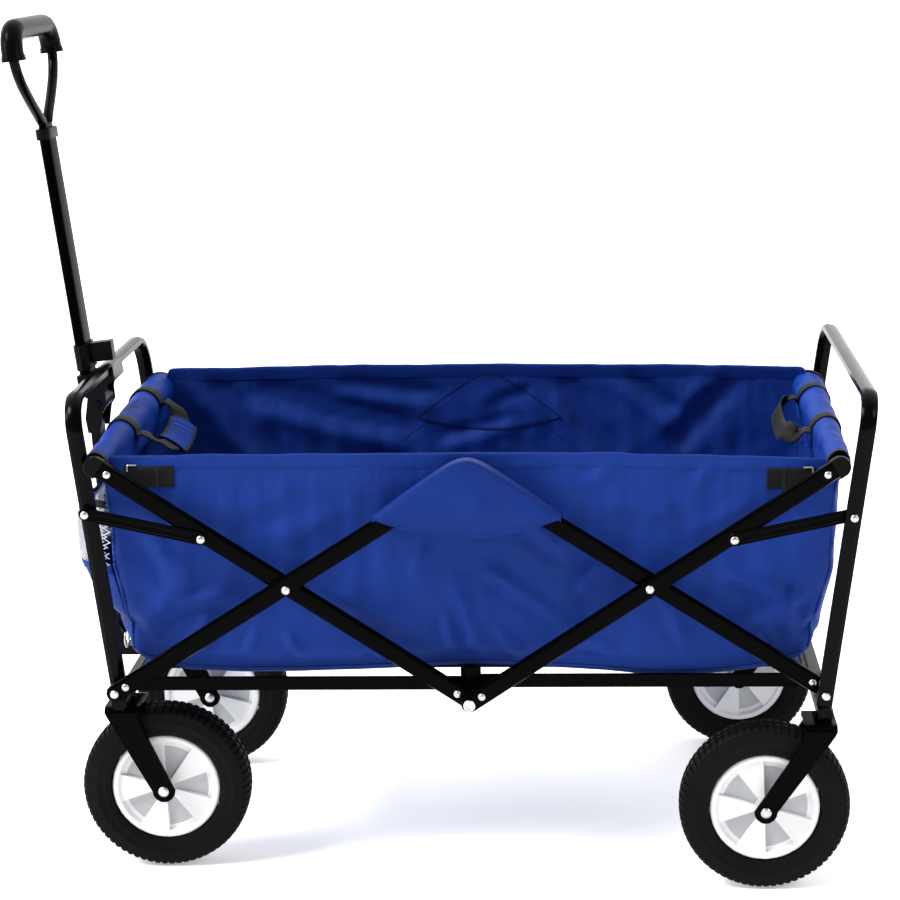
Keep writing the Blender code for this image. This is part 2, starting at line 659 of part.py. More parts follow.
for end, word in NAMES.items():
    shape = bmesh.new()
    low, high = FLOOR_Z
    outline = [(end * 0.0010, low), (end * 0.3900, low), (end * 0.3900, high), (end * 0.0010, high)]
    prism(shape, outline, -0.1860, 0.1860)
    settle(f"basket_floor_{word}", shape, CLOTH, RAIL[end])
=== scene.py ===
"""Looks of a folding utility wagon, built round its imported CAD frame.

Lengths are metres. Points are written about the scissor's own centre and moved by X0 along X,
the distance from there to the origin. Front is end -1, rear +1; near is side -1, far +1.
"""

import json
import math

import bmesh
import bpy
import numpy as np
from mathutils import Matrix, Vector, noise
from mathutils.bvhtree import BVHTree

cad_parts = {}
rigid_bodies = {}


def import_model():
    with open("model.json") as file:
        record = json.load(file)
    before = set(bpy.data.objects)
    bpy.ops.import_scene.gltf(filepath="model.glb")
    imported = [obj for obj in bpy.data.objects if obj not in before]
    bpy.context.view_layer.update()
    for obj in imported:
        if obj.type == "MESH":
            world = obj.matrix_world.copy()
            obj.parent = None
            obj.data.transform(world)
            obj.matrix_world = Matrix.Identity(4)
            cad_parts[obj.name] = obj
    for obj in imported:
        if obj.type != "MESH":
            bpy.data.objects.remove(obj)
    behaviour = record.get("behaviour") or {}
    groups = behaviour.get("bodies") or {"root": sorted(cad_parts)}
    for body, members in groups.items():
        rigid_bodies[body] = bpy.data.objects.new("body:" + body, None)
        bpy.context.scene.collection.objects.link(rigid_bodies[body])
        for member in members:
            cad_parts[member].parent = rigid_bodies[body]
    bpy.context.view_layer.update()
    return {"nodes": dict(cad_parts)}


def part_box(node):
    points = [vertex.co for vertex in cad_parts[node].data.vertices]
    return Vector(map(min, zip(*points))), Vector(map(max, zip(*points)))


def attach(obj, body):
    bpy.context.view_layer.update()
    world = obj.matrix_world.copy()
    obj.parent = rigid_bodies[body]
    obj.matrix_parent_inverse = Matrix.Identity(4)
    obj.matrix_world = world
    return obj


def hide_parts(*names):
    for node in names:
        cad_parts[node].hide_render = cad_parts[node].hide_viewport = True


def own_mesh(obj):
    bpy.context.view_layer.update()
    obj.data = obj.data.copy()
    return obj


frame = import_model()
NODES = frame["nodes"]
SCENE = bpy.context.scene
X0 = 0.036
ENDS = {-1: "front", 1: "rear"}
SIDES = {-1: "near", 1: "far"}

# ------------------------------------------------------------------ camera, light, floor
EYE = Vector((0.1406 + X0, -2.8003, 1.1034))
AHEAD = Vector((-0.00616, 0.97555, -0.21969)).normalized()
ROLL = -0.0046


def make_camera():
    data = bpy.data.cameras.new("camera")
    data.lens, data.sensor_width = 92.79, 36.0
    data.shift_x, data.shift_y = -0.1395, -0.0038
    data.clip_start, data.clip_end = 0.05, 200.0
    camera = bpy.data.objects.new("camera", data)
    SCENE.collection.objects.link(camera)
    flat = AHEAD.cross(Vector((0, 0, 1))).normalized()
    above = flat.cross(AHEAD)
    right = math.cos(ROLL) * flat + math.sin(ROLL) * above
    above = right.cross(AHEAD)
    turn = Matrix((right, above, -AHEAD)).transposed()
    camera.matrix_world = Matrix.Translation(EYE) @ turn.to_4x4()
    SCENE.camera = camera


make_camera()
SCENE.view_settings.view_transform = "Standard"


def light(name, kind, place, aim, energy, size, colour=(1, 1, 1)):
    data = bpy.data.lights.new(name, kind)
    data.energy, data.color = energy, colour
    if kind == "AREA":
        data.shape, data.size = "SQUARE", size
    else:
        data.angle = size
    lamp = bpy.data.objects.new(name, data)
    SCENE.collection.objects.link(lamp)
    lamp.location = place
    lamp.rotation_euler = (Vector(aim) - Vector(place)).to_track_quat("-Z", "Y").to_euler()


light("key", "SUN", (-2.5, -1.15, 3.3), (0, 0, 0.2), 3.2, 0.36)
light("strip_left", "AREA", (-2.9, -1.0, 1.7), (0, 0, 0.4), 36, 0.8)
light("strip_right", "AREA", (2.4, -1.6, 2.2), (0, 0, 0.4), 18, 0.9)

world = bpy.data.worlds.new("studio")
world.use_nodes = True
SCENE.world = world


def backdrop(tree, front, back):
    """White all round: dim behind the viewer's side, bright behind the wagon."""
    sky = tree.nodes["Background"]
    sky.inputs["Color"].default_value = (1.0, 1.0, 1.0, 1.0)
    where = tree.nodes.new("ShaderNodeTexCoord")
    split = tree.nodes.new("ShaderNodeSeparateXYZ")
    span = tree.nodes.new("ShaderNodeMapRange")
    span.interpolation_type = "SMOOTHSTEP"
    for key, value in (("From Min", -0.55), ("From Max", 0.45), ("To Min", front), ("To Max", back)):
        span.inputs[key].default_value = value
    tree.links.new(where.outputs["Generated"], split.inputs[0])
    tree.links.new(split.outputs[1], span.inputs["Value"])
    tree.links.new(span.outputs["Result"], sky.inputs["Strength"])


backdrop(world.node_tree, 0.34, 1.75)


# ------------------------------------------------------------------ materials
def shader(name, colour, roughness, metallic=0.0, specular=0.5, sheen=0.0, coat=0.0):
    made = bpy.data.materials.new(name)
    made.use_nodes = True
    tree = made.node_tree
    bsdf = tree.nodes["Principled BSDF"]
    bsdf.inputs["Base Color"].default_value = (*colour, 1)
    bsdf.inputs["Roughness"].default_value = roughness
    bsdf.inputs["Metallic"].default_value = metallic
    bsdf.inputs["Specular IOR Level"].default_value = specular
    bsdf.inputs["Sheen Weight"].default_value = sheen
    bsdf.inputs["Sheen Roughness"].default_value = 0.45
    bsdf.inputs["Coat Weight"].default_value = coat
    bsdf.inputs["Coat Roughness"].default_value = 0.12
    made.diffuse_color = (*colour, 1)
    return made, tree, bsdf


def node(tree, kind, **values):
    made = tree.nodes.new(kind)
    for key, value in values.items():
        if key in made.inputs:
            made.inputs[key].default_value = value
        else:
            setattr(made, key, value)
    return made


def mottle(tree, bsdf, colour, scale, spread, rough, rough_spread, source="Object", detail=4.0):
    """Base colour and roughness that drift with a noise."""
    where = node(tree, "ShaderNodeTexCoord")
    cloud = node(tree, "ShaderNodeTexNoise", Scale=scale, Detail=detail, Roughness=0.6)
    tree.links.new(where.outputs[source], cloud.inputs["Vector"])
    ramp = node(tree, "ShaderNodeValToRGB")
    ramp.color_ramp.elements[0].position = 0.30
    ramp.color_ramp.elements[1].position = 0.72
    ramp.color_ramp.elements[0].color = (*[c * (1 - spread) for c in colour], 1)
    ramp.color_ramp.elements[1].color = (*[min(1, c * (1 + spread)) for c in colour], 1)
    tree.links.new(cloud.outputs["Fac"], ramp.inputs["Fac"])
    tree.links.new(ramp.outputs["Color"], bsdf.inputs["Base Color"])
    span = node(tree, "ShaderNodeMapRange")
    span.inputs["To Min"].default_value = rough - rough_spread
    span.inputs["To Max"].default_value = rough + rough_spread
    tree.links.new(cloud.outputs["Fac"], span.inputs["Value"])
    tree.links.new(span.outputs["Result"], bsdf.inputs["Roughness"])
    return where


def bump(tree, bsdf, height, strength, distance, before=None):
    step = node(tree, "ShaderNodeBump", Strength=strength, Distance=distance)
    tree.links.new(height, step.inputs["Height"])
    if before:
        tree.links.new(before.outputs["Normal"], step.inputs["Normal"])
    tree.links.new(step.outputs["Normal"], bsdf.inputs["Normal"])
    return step


def sine_of(tree, value, period):
    scaled = node(tree, "ShaderNodeMath", operation="MULTIPLY")
    scaled.inputs[1].default_value = 2 * math.pi / period
    tree.links.new(value, scaled.inputs[0])
    wave = node(tree, "ShaderNodeMath", operation="SINE")
    tree.links.new(scaled.outputs[0], wave.inputs[0])
    return wave.outputs[0]


def woven(name, colour, roughness, pitch, strength, sheen=0.25, spread=0.10, scale=9.0,
          specular=0.25, ribs=False):
    """Plain weave in UV metres, or a ribbed webbing, with drifting colour and dusty wear."""
    made, tree, bsdf = shader(name, colour, roughness, specular=specular, sheen=sheen)
    where = mottle(tree, bsdf, colour, scale, spread, roughness, 0.07)
    split = node(tree, "ShaderNodeSeparateXYZ")
    tree.links.new(where.outputs["UV"], split.inputs[0])
    across = sine_of(tree, split.outputs[0], pitch)
    along = sine_of(tree, split.outputs[1], pitch * (2.2 if ribs else 1.0))
    cross = node(tree, "ShaderNodeMath", operation="MULTIPLY")
    tree.links.new(across, cross.inputs[0])
    tree.links.new(along, cross.inputs[1])
    thread = bump(tree, bsdf, cross.outputs[0], strength, 0.00025)
    fine = node(tree, "ShaderNodeTexNoise", Scale=420.0, Detail=3.0, Roughness=0.7)
    tree.links.new(where.outputs["Object"], fine.inputs["Vector"])
    crumple = node(tree, "ShaderNodeTexNoise", Scale=16.0, Detail=3.0, Roughness=0.50, Distortion=0.35)
    tree.links.new(where.outputs["Object"], crumple.inputs["Vector"])
    soft = bump(tree, bsdf, crumple.outputs["Fac"], 0.0 if ribs else 0.75, 0.0060, before=thread)
    bump(tree, bsdf, fine.outputs["Fac"], 0.14, 0.0004, before=soft)
    return made


def coated(name, colour, roughness, specular, grain, grain_strength, spread=0.25, coat=0.0,
           metallic=0.0, rough_spread=0.05):
    """Hard surface: drifting colour and gloss, and a fine skin such as orange peel."""
    made, tree, bsdf = shader(name, colour, roughness, metallic, specular, coat=coat)
    where = mottle(tree, bsdf, colour, 14.0, spread, roughness, rough_spread)
    skin = node(tree, "ShaderNodeTexNoise", Scale=grain, Detail=2.0, Roughness=0.5)
    tree.links.new(where.outputs["Object"], skin.inputs["Vector"])
    bump(tree, bsdf, skin.outputs["Fac"], grain_strength, 0.0006)
    return made


BLUE = (0.0042, 0.0262, 0.1880)
CLOTH = woven("polyester_blue", BLUE, 0.58, 0.0011, 0.30, sheen=0.02, specular=0.10)
# the sleeves' blue is a lighter, stronger copy of the same cloth: painted light on the sleeves over the top
# tubes
CLOTH_SLEEVE_LIT = woven("polyester_blue_sleeve_painted_light", (0.0046, 0.0340, 0.2450), 0.56, 0.0011, 0.30, sheen=0.0,
                     specular=0.07)
# the flap's blue is a darker copy of the same cloth: painted shade that holds down the extra light on the
# tilted flap
CLOTH_FLAP_SHADE = woven("polyester_blue_flap_painted_shade", (0.0030, 0.0205, 0.1480), 0.56, 0.0011, 0.30, sheen=0.01,
                   specular=0.09)
SEAM = woven("thread_dark_blue", (0.0015, 0.0060, 0.0420), 0.75, 0.0006, 0.2, sheen=0.02, specular=0.1)
STITCH = woven("thread_blue", (0.0042, 0.0240, 0.1650), 0.6, 0.0006, 0.2, sheen=0.02, specular=0.1)
WEBBING = woven("webbing_black", (0.0026, 0.0026, 0.0028), 0.68, 0.0019, 0.55, sheen=0.04, specular=0.16,
                ribs=True)
WEB_THREAD = woven("webbing_thread", (0.030, 0.030, 0.032), 0.6, 0.0006, 0.2, sheen=0.1)
MESHNET = woven("net_white", (0.60, 0.61, 0.63), 0.62, 0.0006, 0.1, sheen=0.1)
COAT = coated("powder_coat_black", (0.0007, 0.0007, 0.0008), 0.18, 0.055, 900.0, 0.08)
COAT_BAR = coated("powder_coat_bar", (0.0006, 0.0006, 0.0007), 0.22, 0.022, 900.0, 0.08)
COAT_STEM = coated("powder_coat_stem", (0.0004, 0.0004, 0.0004), 0.26, 0.006, 900.0, 0.08)
PLASTIC = coated("moulding_black", (0.0024, 0.0024, 0.0026), 0.38, 0.05, 1600.0, 0.12)
GRIP = coated("grip_gloss_black", (0.0020, 0.0020, 0.0022), 0.26, 0.03, 700.0, 0.05)
RIVET = coated("zinc_bright", (0.50, 0.50, 0.49), 0.30, 0.5, 500.0, 0.06, 0.10, metallic=1.0)
RUBBER = coated("rubber_black", (0.0026, 0.0026, 0.0026), 0.60, 0.07, 1300.0, 0.25, 0.35)
RIM_UP = coated("rim_plate_pale", (0.70, 0.70, 0.705), 0.36, 0.35, 800.0, 0.06, 0.03)
# the sunk sectors are the same pale plastic as the raised ones, painted darker grey: painted shade in the
# recesses
RIM_SUNK_SHADE = coated("rim_sunk_painted_shade", (0.40, 0.41, 0.43), 0.42, 0.3, 800.0, 0.06, 0.08)
FLOOR = coated("studio_floor", (0.93, 0.93, 0.93), 0.65, 0.08, 60.0, 0.01, 0.01)
FLOOR_GLOW = 0.36
floor_look = FLOOR.node_tree.nodes["Principled BSDF"].inputs
floor_look["Emission Color"].default_value = (1, 1, 1, 1)
floor_look["Emission Strength"].default_value = FLOOR_GLOW


# ------------------------------------------------------------------ mesh helpers
def build(name, verts, faces, look, body=None, uvs=None, smooth=35.0, marks=None):
    """A piece from points about the scissor's centre; looks may be several, with marks per face."""
    verts = np.asarray(verts, float).reshape(-1, 3) + np.array((X0, 0, 0))
    mesh = bpy.data.meshes.new(name)
    mesh.from_pydata(verts.tolist(), [], [tuple(int(i) for i in f) for f in faces])
    mesh.validate()
    looks = look if isinstance(look, (list, tuple)) else [look]
    for one in looks:
        mesh.materials.append(one)
    if marks is not None:
        mesh.polygons.foreach_set("material_index", np.asarray(marks, np.int32))
    if uvs is not None:
        uvs = np.asarray(uvs, float).reshape(-1, 2)
        layer = mesh.uv_layers.new(name="UVMap")
        index = np.zeros(len(mesh.loops), np.int32)
        mesh.loops.foreach_get("vertex_index", index)
        layer.data.foreach_set("uv", uvs[index].astype(np.float32).ravel())
    mesh.shade_smooth()
    if smooth < 180:
        mesh.set_sharp_from_angle(angle=math.radians(smooth))
    piece = bpy.data.objects.new(name, mesh)
    SCENE.collection.objects.link(piece)
    if body:
        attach(piece, body)
    return piece


def quads(rows, cols, wrap_rows=False, wrap_cols=False, start=0):
    """Faces of a grid of rows by cols points."""
    faces = []
    for i in range(rows if wrap_rows else rows - 1):
        for j in range(cols if wrap_cols else cols - 1):
            k, m = (i + 1) % rows, (j + 1) % cols
            faces.append((start + i * cols + j, start + i * cols + m, start + k * cols + m,
                          start + k * cols + j))
    return faces


def grid_uv(points):
    """UV in metres from the running lengths of a rows by cols by 3 grid."""
    points = np.asarray(points, float)
    down = np.linalg.norm(np.diff(points, axis=0), axis=2).mean(axis=1)
    across = np.linalg.norm(np.diff(points, axis=1), axis=2).mean(axis=0)
    v = np.concatenate([[0], np.cumsum(down)])
    u = np.concatenate([[0], np.cumsum(across)])
    return np.stack(np.meshgrid(u, v), axis=2).reshape(-1, 2)


def sheet_piece(name, points, look, body, thickness=0.0010, subdiv=0, smooth=180.0,
                offset=0.0, wrap=False):
    """Cloth of a real thickness through a rows by cols grid of points."""
    points = np.asarray(points, float)
    rows, cols = points.shape[:2]
    piece = build(name, points, quads(rows, cols, wrap_cols=wrap), look, None, grid_uv(points),
                  smooth)
    if thickness:
        solid = piece.modifiers.new("thickness", "SOLIDIFY")
        solid.thickness, solid.offset, solid.use_even_offset = thickness, offset, False
    if subdiv:
        smoother = piece.modifiers.new("smooth", "SUBSURF")
        smoother.levels = smoother.render_levels = subdiv
    if body:
        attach(piece, body)
    return piece


def apply_modifiers(piece):
    graph = bpy.context.evaluated_depsgraph_get()
    mesh = bpy.data.meshes.new_from_object(piece.evaluated_get(graph), depsgraph=graph)
    piece.modifiers.clear()
    piece.data = mesh
    return piece


def frames_along(path):
    """Tangents of a path of points."""
    path = np.asarray(path, float)
    tangent = np.gradient(path, axis=0)
    return tangent / np.maximum(np.linalg.norm(tangent, axis=1, keepdims=True), 1e-9)


def smooth_path(points, count, closed=False):
    """Points on a Catmull-Rom curve through a few given ones, evenly spread."""
    points = [np.asarray(p, float) for p in points]
    out = []
    last = len(points) - (0 if closed else 1)
    for i in range(last):
        if closed:
            a, b, c, d = (points[(i + k) % len(points)] for k in (-1, 0, 1, 2))
        else:
            a, b = points[max(i - 1, 0)], points[i]
            c, d = points[i + 1], points[min(i + 2, len(points) - 1)]
        for t in np.linspace(0, 1, 24, endpoint=False):
            out.append(0.5 * ((2 * b) + (c - a) * t + (2 * a - 5 * b + 4 * c - d) * t * t
                              + (3 * b - a - 3 * c + d) * t ** 3))
    out.append(points[0] if closed else points[-1])
    out = np.array(out)
    run = np.concatenate([[0], np.cumsum(np.linalg.norm(np.diff(out, axis=0), axis=1))])
    even = np.linspace(0, run[-1], count)
    return np.stack([np.interp(even, run, out[:, k]) for k in range(out.shape[1])], axis=1)


def tube(name, path, radius, look, body, sides=8, flat=1.0, up=(0, 0, 1)):
    """Round or oval cord along a path, with closed ends."""
    path = np.asarray(path, float)
    tangent = frames_along(path)
    verts, up = [], np.asarray(up, float)
    for p, t in zip(path, tangent):
        side = np.cross(t, up)
        if np.linalg.norm(side) < 1e-4:
            side = np.cross(t, (1, 0, 0))
        side /= np.linalg.norm(side)
        top = np.cross(side, t)
        for k in range(sides):
            angle = 2 * math.pi * k / sides
            verts.append(p + side * radius * math.cos(angle) + top * radius * flat * math.sin(angle))
    faces = quads(len(path), sides, wrap_cols=True)
    faces.append(tuple(range(sides - 1, -1, -1)))
    faces.append(tuple(range((len(path) - 1) * sides, len(path) * sides)))
    return build(name, verts, faces, look, body, smooth=50.0)


def ribbon(name, path, across, width, thickness, look, body, rows=5):
    """Webbing: a flat strip along a path; across is the width direction at each point."""
    path, across = np.asarray(path, float), np.asarray(across, float)
    across = across / np.linalg.norm(across, axis=1, keepdims=True)
    grid = []
    for k in range(rows):
        grid.append(path + across * width * (k / (rows - 1) - 0.5))
    return sheet_piece(name, np.transpose(np.array(grid), (1, 0, 2)), look, body, thickness)


def stitches(name, path, normal, look, body, pitch=0.0038, long=0.0026, wide=0.00055,
             lift=0.0004):
    """A row of single stitches along a path, raised from the cloth."""
    path = np.asarray(path, float)
    run = np.concatenate([[0], np.cumsum(np.linalg.norm(np.diff(path, axis=0), axis=1))])
    count = max(int(run[-1] / pitch), 1)
    starts = (np.arange(count) + 0.5) * run[-1] / count
    tangent = frames_along(path)
    verts, faces = [], []
    normal = np.asarray(normal, float)
    for s in starts:
        p = np.array([np.interp(s, run, path[:, k]) for k in range(3)])
        t = np.array([np.interp(s, run, tangent[:, k]) for k in range(3)])
        t /= np.linalg.norm(t)
        side = np.cross(t, normal)
        side /= np.linalg.norm(side)
        base = len(verts)
        for along, half, rise in ((-0.5, 0.55, 0.0), (-0.2, 1.0, 1.0), (0.2, 1.0, 1.0),
                                  (0.5, 0.55, 0.0)):
            for sign in (-1, 1):
                verts.append(p + t * along * long + side * sign * half * wide / 2
                             + normal * (lift * rise + 0.0001))
        for along, rise in ((-0.5, -0.4), (0.5, -0.4)):
            for sign in (-1, 1):
                verts.append(p + t * along * long + side * sign * wide / 2 + normal * lift * rise)
        for k in range(3):
            a = base + 2 * k
            faces.append((a, a + 1, a + 3, a + 2))
        faces.append((base, base + 2, base + 4, base + 6, base + 10, base + 8))
        faces.append((base + 1, base + 9, base + 11, base + 7, base + 5, base + 3))
        faces.append((base + 8, base + 9, base + 1, base))
        faces.append((base + 6, base + 7, base + 11, base + 10))
        faces.append((base + 8, base + 10, base + 11, base + 9))
    return build(name, verts, faces, look, body, smooth=180.0)


def turned(name, rows, centre, look, body, axis="y", count=24, smooth=35.0):
    """Turned piece: (radius, along) rows about an axis through a centre."""
    verts, cols = [], count
    for radius, along in rows:
        for k in range(count):
            angle = 2 * math.pi * k / count
            a, b = radius * math.cos(angle), radius * math.sin(angle)
            local = {"y": (a, along, b), "z": (a, b, along), "x": (along, a, b)}[axis]
            verts.append(np.asarray(centre) + local)
    faces = quads(len(rows), cols, wrap_cols=True)
    faces.append(tuple(range(cols)))
    faces.append(tuple(range((len(rows) - 1) * cols, len(rows) * cols)))
    piece = build(name, verts, faces, look, None, smooth=smooth)
    tidy_normals(piece)
    if body:
        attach(piece, body)
    return piece


def tidy_normals(piece):
    shape = bmesh.new()
    shape.from_mesh(piece.data)
    bmesh.ops.recalc_face_normals(shape, faces=shape.faces)
    shape.to_mesh(piece.data)
    shape.free()


def fractal(point, scale, seed=0.0):
    return noise.fractal(Vector(point) * scale + Vector((seed, seed * 0.7, -seed)), 0.9, 2.1, 4)


# ------------------------------------------------------------------ CAD nodes get their finish
for name, piece in NODES.items():
    look = COAT_BAR if name.startswith(("long_bar", "short_bar", "stay", "floor_rail", "fork")) else COAT
    if name.startswith(("cross_rivet", "corner_bolt", "axle")):
        look = RIVET
    elif name in ("handle_socket", "stem_cap", "lock_collar"):
        look = PLASTIC
    elif name == "grip":
        look = GRIP
    elif name.startswith("tyre"):
        look = RUBBER
    elif name.startswith("rim"):
        look = RIM_UP
    elif name.startswith("basket"):
        look = CLOTH
    if piece.data.materials:
        for k in range(len(piece.data.materials)):
            piece.data.materials[k] = look
    else:
        piece.data.materials.append(look)

# ------------------------------------------------------------------ fabric tub
SIDE_COLS, END_COLS, WALL_ROWS = 140, 56, 40
CORNER_R = 0.016
HEM_R = 0.0019
FRONT_X = ((0, 0.45, 0.9, 1), (0.400, 0.4165, 0.4205, 0.4225))
REAR_X = ((0, 0.45, 0.9, 1), (0.3985, 0.4235, 0.4265, 0.4320))
HALF_Y = ((0, 0.12, 0.5, 0.85, 1), (0.1895, 0.1915, 0.1968, 0.2010, 0.2035))


def unit_plan():
    """Plan points of the tub's columns on a unit square, round from the near front corner."""
    a, b = np.linspace(-1, 1, SIDE_COLS, endpoint=False), np.linspace(-1, 1, END_COLS, endpoint=False)
    near = np.stack([a, -np.ones_like(a)], 1)
    rear = np.stack([np.ones_like(b), b], 1)
    return np.concatenate([near, rear, -near, -rear])


PLAN = unit_plan()
FAR_SHARE = (PLAN[:, 1] + 1) / 2


def ease(x, low, high):
    t = np.clip((x - low) / (high - low), 0, 1)
    return t * t * (3 - 2 * t)


LOW_EDGE = ((-0.400, 0.2680), (-0.380, 0.2600), (-0.360, 0.2530), (-0.335, 0.2475), (-0.270, 0.2445),
            (-0.200, 0.2450), (-0.130, 0.2470), (-0.050, 0.2505), (0.0, 0.2535), (0.080, 0.2500),
            (0.160, 0.2450), (0.210, 0.2395), (0.257, 0.2395), (0.297, 0.2425), (0.340, 0.2480),
            (0.371, 0.2570), (0.400, 0.2670))


def low_height(x):
    table = np.array(LOW_EDGE)
    return np.interp(x, table[:, 0], table[:, 1])


def top_height(x, far):
    near_top = 0.5116 - np.where(x < 0, 0.0033, 0.0100) * (x / 0.43) ** 2
    far_top = 0.5395 - 0.0055 * (x / 0.43) ** 2
    return near_top * (1 - far) + far_top * far


def ring(share, inset, lift):
    """One closed row of the tub: share up the wall, inset inwards and lifted by so much."""
    front = np.interp(share, *FRONT_X)
    rear = np.interp(share, *REAR_X)
    half_y = np.interp(share, *HALF_Y)
    corner = np.interp(share, (0, 0.75, 1), (0.014, CORNER_R, 0.007))
    x = np.where(PLAN[:, 0] < 0, PLAN[:, 0] * front, PLAN[:, 0] * rear)
    y = PLAN[:, 1] * half_y
    half_x = np.where(PLAN[:, 0] < 0, front, rear)
    inner = np.stack([np.clip(x, -(half_x - corner), half_x - corner),
                      np.clip(y, -(half_y - corner), half_y - corner)], 1)
    away = np.stack([x, y], 1) - inner
    away /= np.linalg.norm(away, axis=1, keepdims=True)
    flat = inner + away * (corner - inset)
    end_wall = ease(np.abs(PLAN[:, 0]), 0.982, 1.0)
    high = top_height(x, FAR_SHARE)
    end_high = 0.4960 + 0.010 * FAR_SHARE
    high = high * (1 - end_wall) + end_high * end_wall
    low = low_height(x)
    return np.stack([flat[:, 0], flat[:, 1], low + (high - low) * share + lift], 1)


PAD_TOP = 0.2535


def tub_rows():
    lip = ring(0, 0.0340, -0.0020)
    lip[:, 2] = np.minimum(lip[:, 2], PAD_TOP + 0.0023)
    rows = [lip, ring(0, 0.0120, -0.0022), ring(0, 0.0030, -0.0012)]
    rows += [ring(share, 0, 0) for share in np.linspace(0.012, 0.985, WALL_ROWS)]
    for angle in np.linspace(0.2, 1, 4) * math.pi:
        rows.append(ring(1, HEM_R * (1 - math.cos(angle)), HEM_R * (math.sin(angle) - 1)))
    rows += [ring(1, 2 * HEM_R - 0.0010, -0.0080), ring(1, 2 * HEM_R - 0.0022, -0.0150),
             ring(1, 2 * HEM_R - 0.0031, -0.0180)]
    return np.array(rows)


def drape(piece, pins, frames, slack, bending):
    """Lets cloth settle under gravity with some slack and gives its points."""
    group = piece.vertex_groups.new(name="pins")
    for i, weight in enumerate(pins):
        if weight > 0:
            group.add([i], float(weight), "REPLACE")
    cloth = piece.modifiers.new("cloth", "CLOTH")
    cloth.settings.quality = 6
    cloth.settings.mass = 0.12
    cloth.settings.tension_stiffness = cloth.settings.compression_stiffness = 18
    cloth.settings.shear_stiffness = 8
    cloth.settings.bending_stiffness = bending
    cloth.settings.vertex_group_mass = "pins"
    cloth.settings.shrink_min = -slack
    cloth.point_cache.frame_start, cloth.point_cache.frame_end = 1, frames
    for step in range(1, frames + 1):
        SCENE.frame_set(step)
    graph = bpy.context.evaluated_depsgraph_get()
    settled = piece.evaluated_get(graph)
    points = np.zeros(len(settled.data.vertices) * 3)
    settled.data.vertices.foreach_get("co", points)
    piece.modifiers.remove(cloth)
    piece.vertex_groups.remove(group)
    SCENE.frame_set(1)
    return points.reshape(-1, 3)


# soft creases in the walls: near or far side, start and end (x, z), width, depth
CREASES = [
    (-1, -0.052, 0.400, -0.064, 0.362, 0.006, 0.0022), (-1, -0.030, 0.318, -0.022, 0.280, 0.006, 0.0030),
    (-1, -0.012, 0.345, 0.010, 0.270, 0.008, 0.0030), (-1, 0.020, 0.372, 0.098, 0.318, 0.007, 0.0030),
    (-1, 0.150, 0.385, 0.128, 0.345, 0.007, 0.0028), (-1, 0.300, 0.365, 0.372, 0.340, 0.009, 0.0034),
    (-1, 0.392, 0.345, 0.330, 0.302, 0.008, 0.0030), (-1, 0.232, 0.330, 0.250, 0.285, 0.007, 0.0022),
    (-1, -0.215, 0.292, -0.200, 0.268, 0.005, 0.0028), (-1, -0.250, 0.300, -0.262, 0.270, 0.005, 0.0020),
    (-1, -0.345, 0.330, -0.280, 0.345, 0.010, 0.0028), (-1, -0.372, 0.420, -0.330, 0.352, 0.010, 0.0026),
    (-1, -0.120, 0.300, -0.104, 0.262, 0.006, 0.0024), (-1, 0.070, 0.430, 0.110, 0.395, 0.008, 0.0022),
    (-1, 0.285, 0.498, 0.262, 0.478, 0.006, 0.0020), (-1, 0.170, 0.497, 0.140, 0.476, 0.007, 0.0018),
    (-1, -0.380, 0.492, -0.330, 0.505, 0.006, 0.0020), (-1, 0.340, 0.300, 0.355, 0.275, 0.005, 0.0026),
    (-1, -0.385, 0.300, -0.330, 0.375, 0.012, 0.0030), (-1, -0.330, 0.275, -0.300, 0.320, 0.008, 0.0026),
    (-1, -0.160, 0.345, -0.060, 0.300, 0.012, 0.0020), (-1, 0.030, 0.300, 0.060, 0.262, 0.007, 0.0022),
    (-1, 0.110, 0.300, 0.170, 0.268, 0.008, 0.0024), (-1, 0.260, 0.415, 0.330, 0.452, 0.012, 0.0020),
    (-1, 0.380, 0.300, 0.345, 0.350, 0.010, 0.0030), (-1, 0.160, 0.455, 0.240, 0.440, 0.012, 0.0016),
    (-1, -0.300, 0.440, -0.200, 0.470, 0.014, 0.0018), (-1, -0.230, 0.410, -0.150, 0.440, 0.012, 0.0016),
    (1, -0.300, 0.505, -0.090, 0.452, 0.016, 0.0050), (1, -0.190, 0.515, -0.060, 0.500, 0.010, 0.0030),
    (1, 0.105, 0.520, 0.175, 0.400, 0.014, 0.0050), (1, 0.190, 0.525, 0.260, 0.470, 0.012, 0.0040),
    (1, 0.330, 0.520, 0.250, 0.430, 0.014, 0.0045), (1, -0.360, 0.520, -0.270, 0.400, 0.014, 0.0050),
    (1, -0.060, 0.440, 0.040, 0.470, 0.009, 0.0026), (1, 0.060, 0.505, 0.000, 0.480, 0.007, 0.0020),
    (1, -0.150, 0.420, -0.020, 0.330, 0.013, 0.0035), (1, 0.080, 0.380, 0.200, 0.300, 0.013, 0.0035),
]


def crease_depth(x, z, side):
    total = np.zeros_like(x)
    for which, x0, z0, x1, z1, width, depth in CREASES:
        if which != side:
            continue
        run = np.array((x1 - x0, z1 - z0))
        size = float(np.hypot(*run))
        along = ((x - x0) * run[0] + (z - z0) * run[1]) / size ** 2
        off = ((x - x0) * run[1] - (z - z0) * run[0]) / size
        fade = np.exp(-(np.clip(np.abs(along - 0.5) - 0.32, 0, None) / 0.16) ** 2)
        off = off + 0.12 * width * np.sin(along * 9)
        ridge = np.exp(-(off / width) ** 2) - 0.45 * np.exp(-((off - 1.7 * width) / width) ** 2)
        total += 3.0 * depth * fade * ridge
    return total


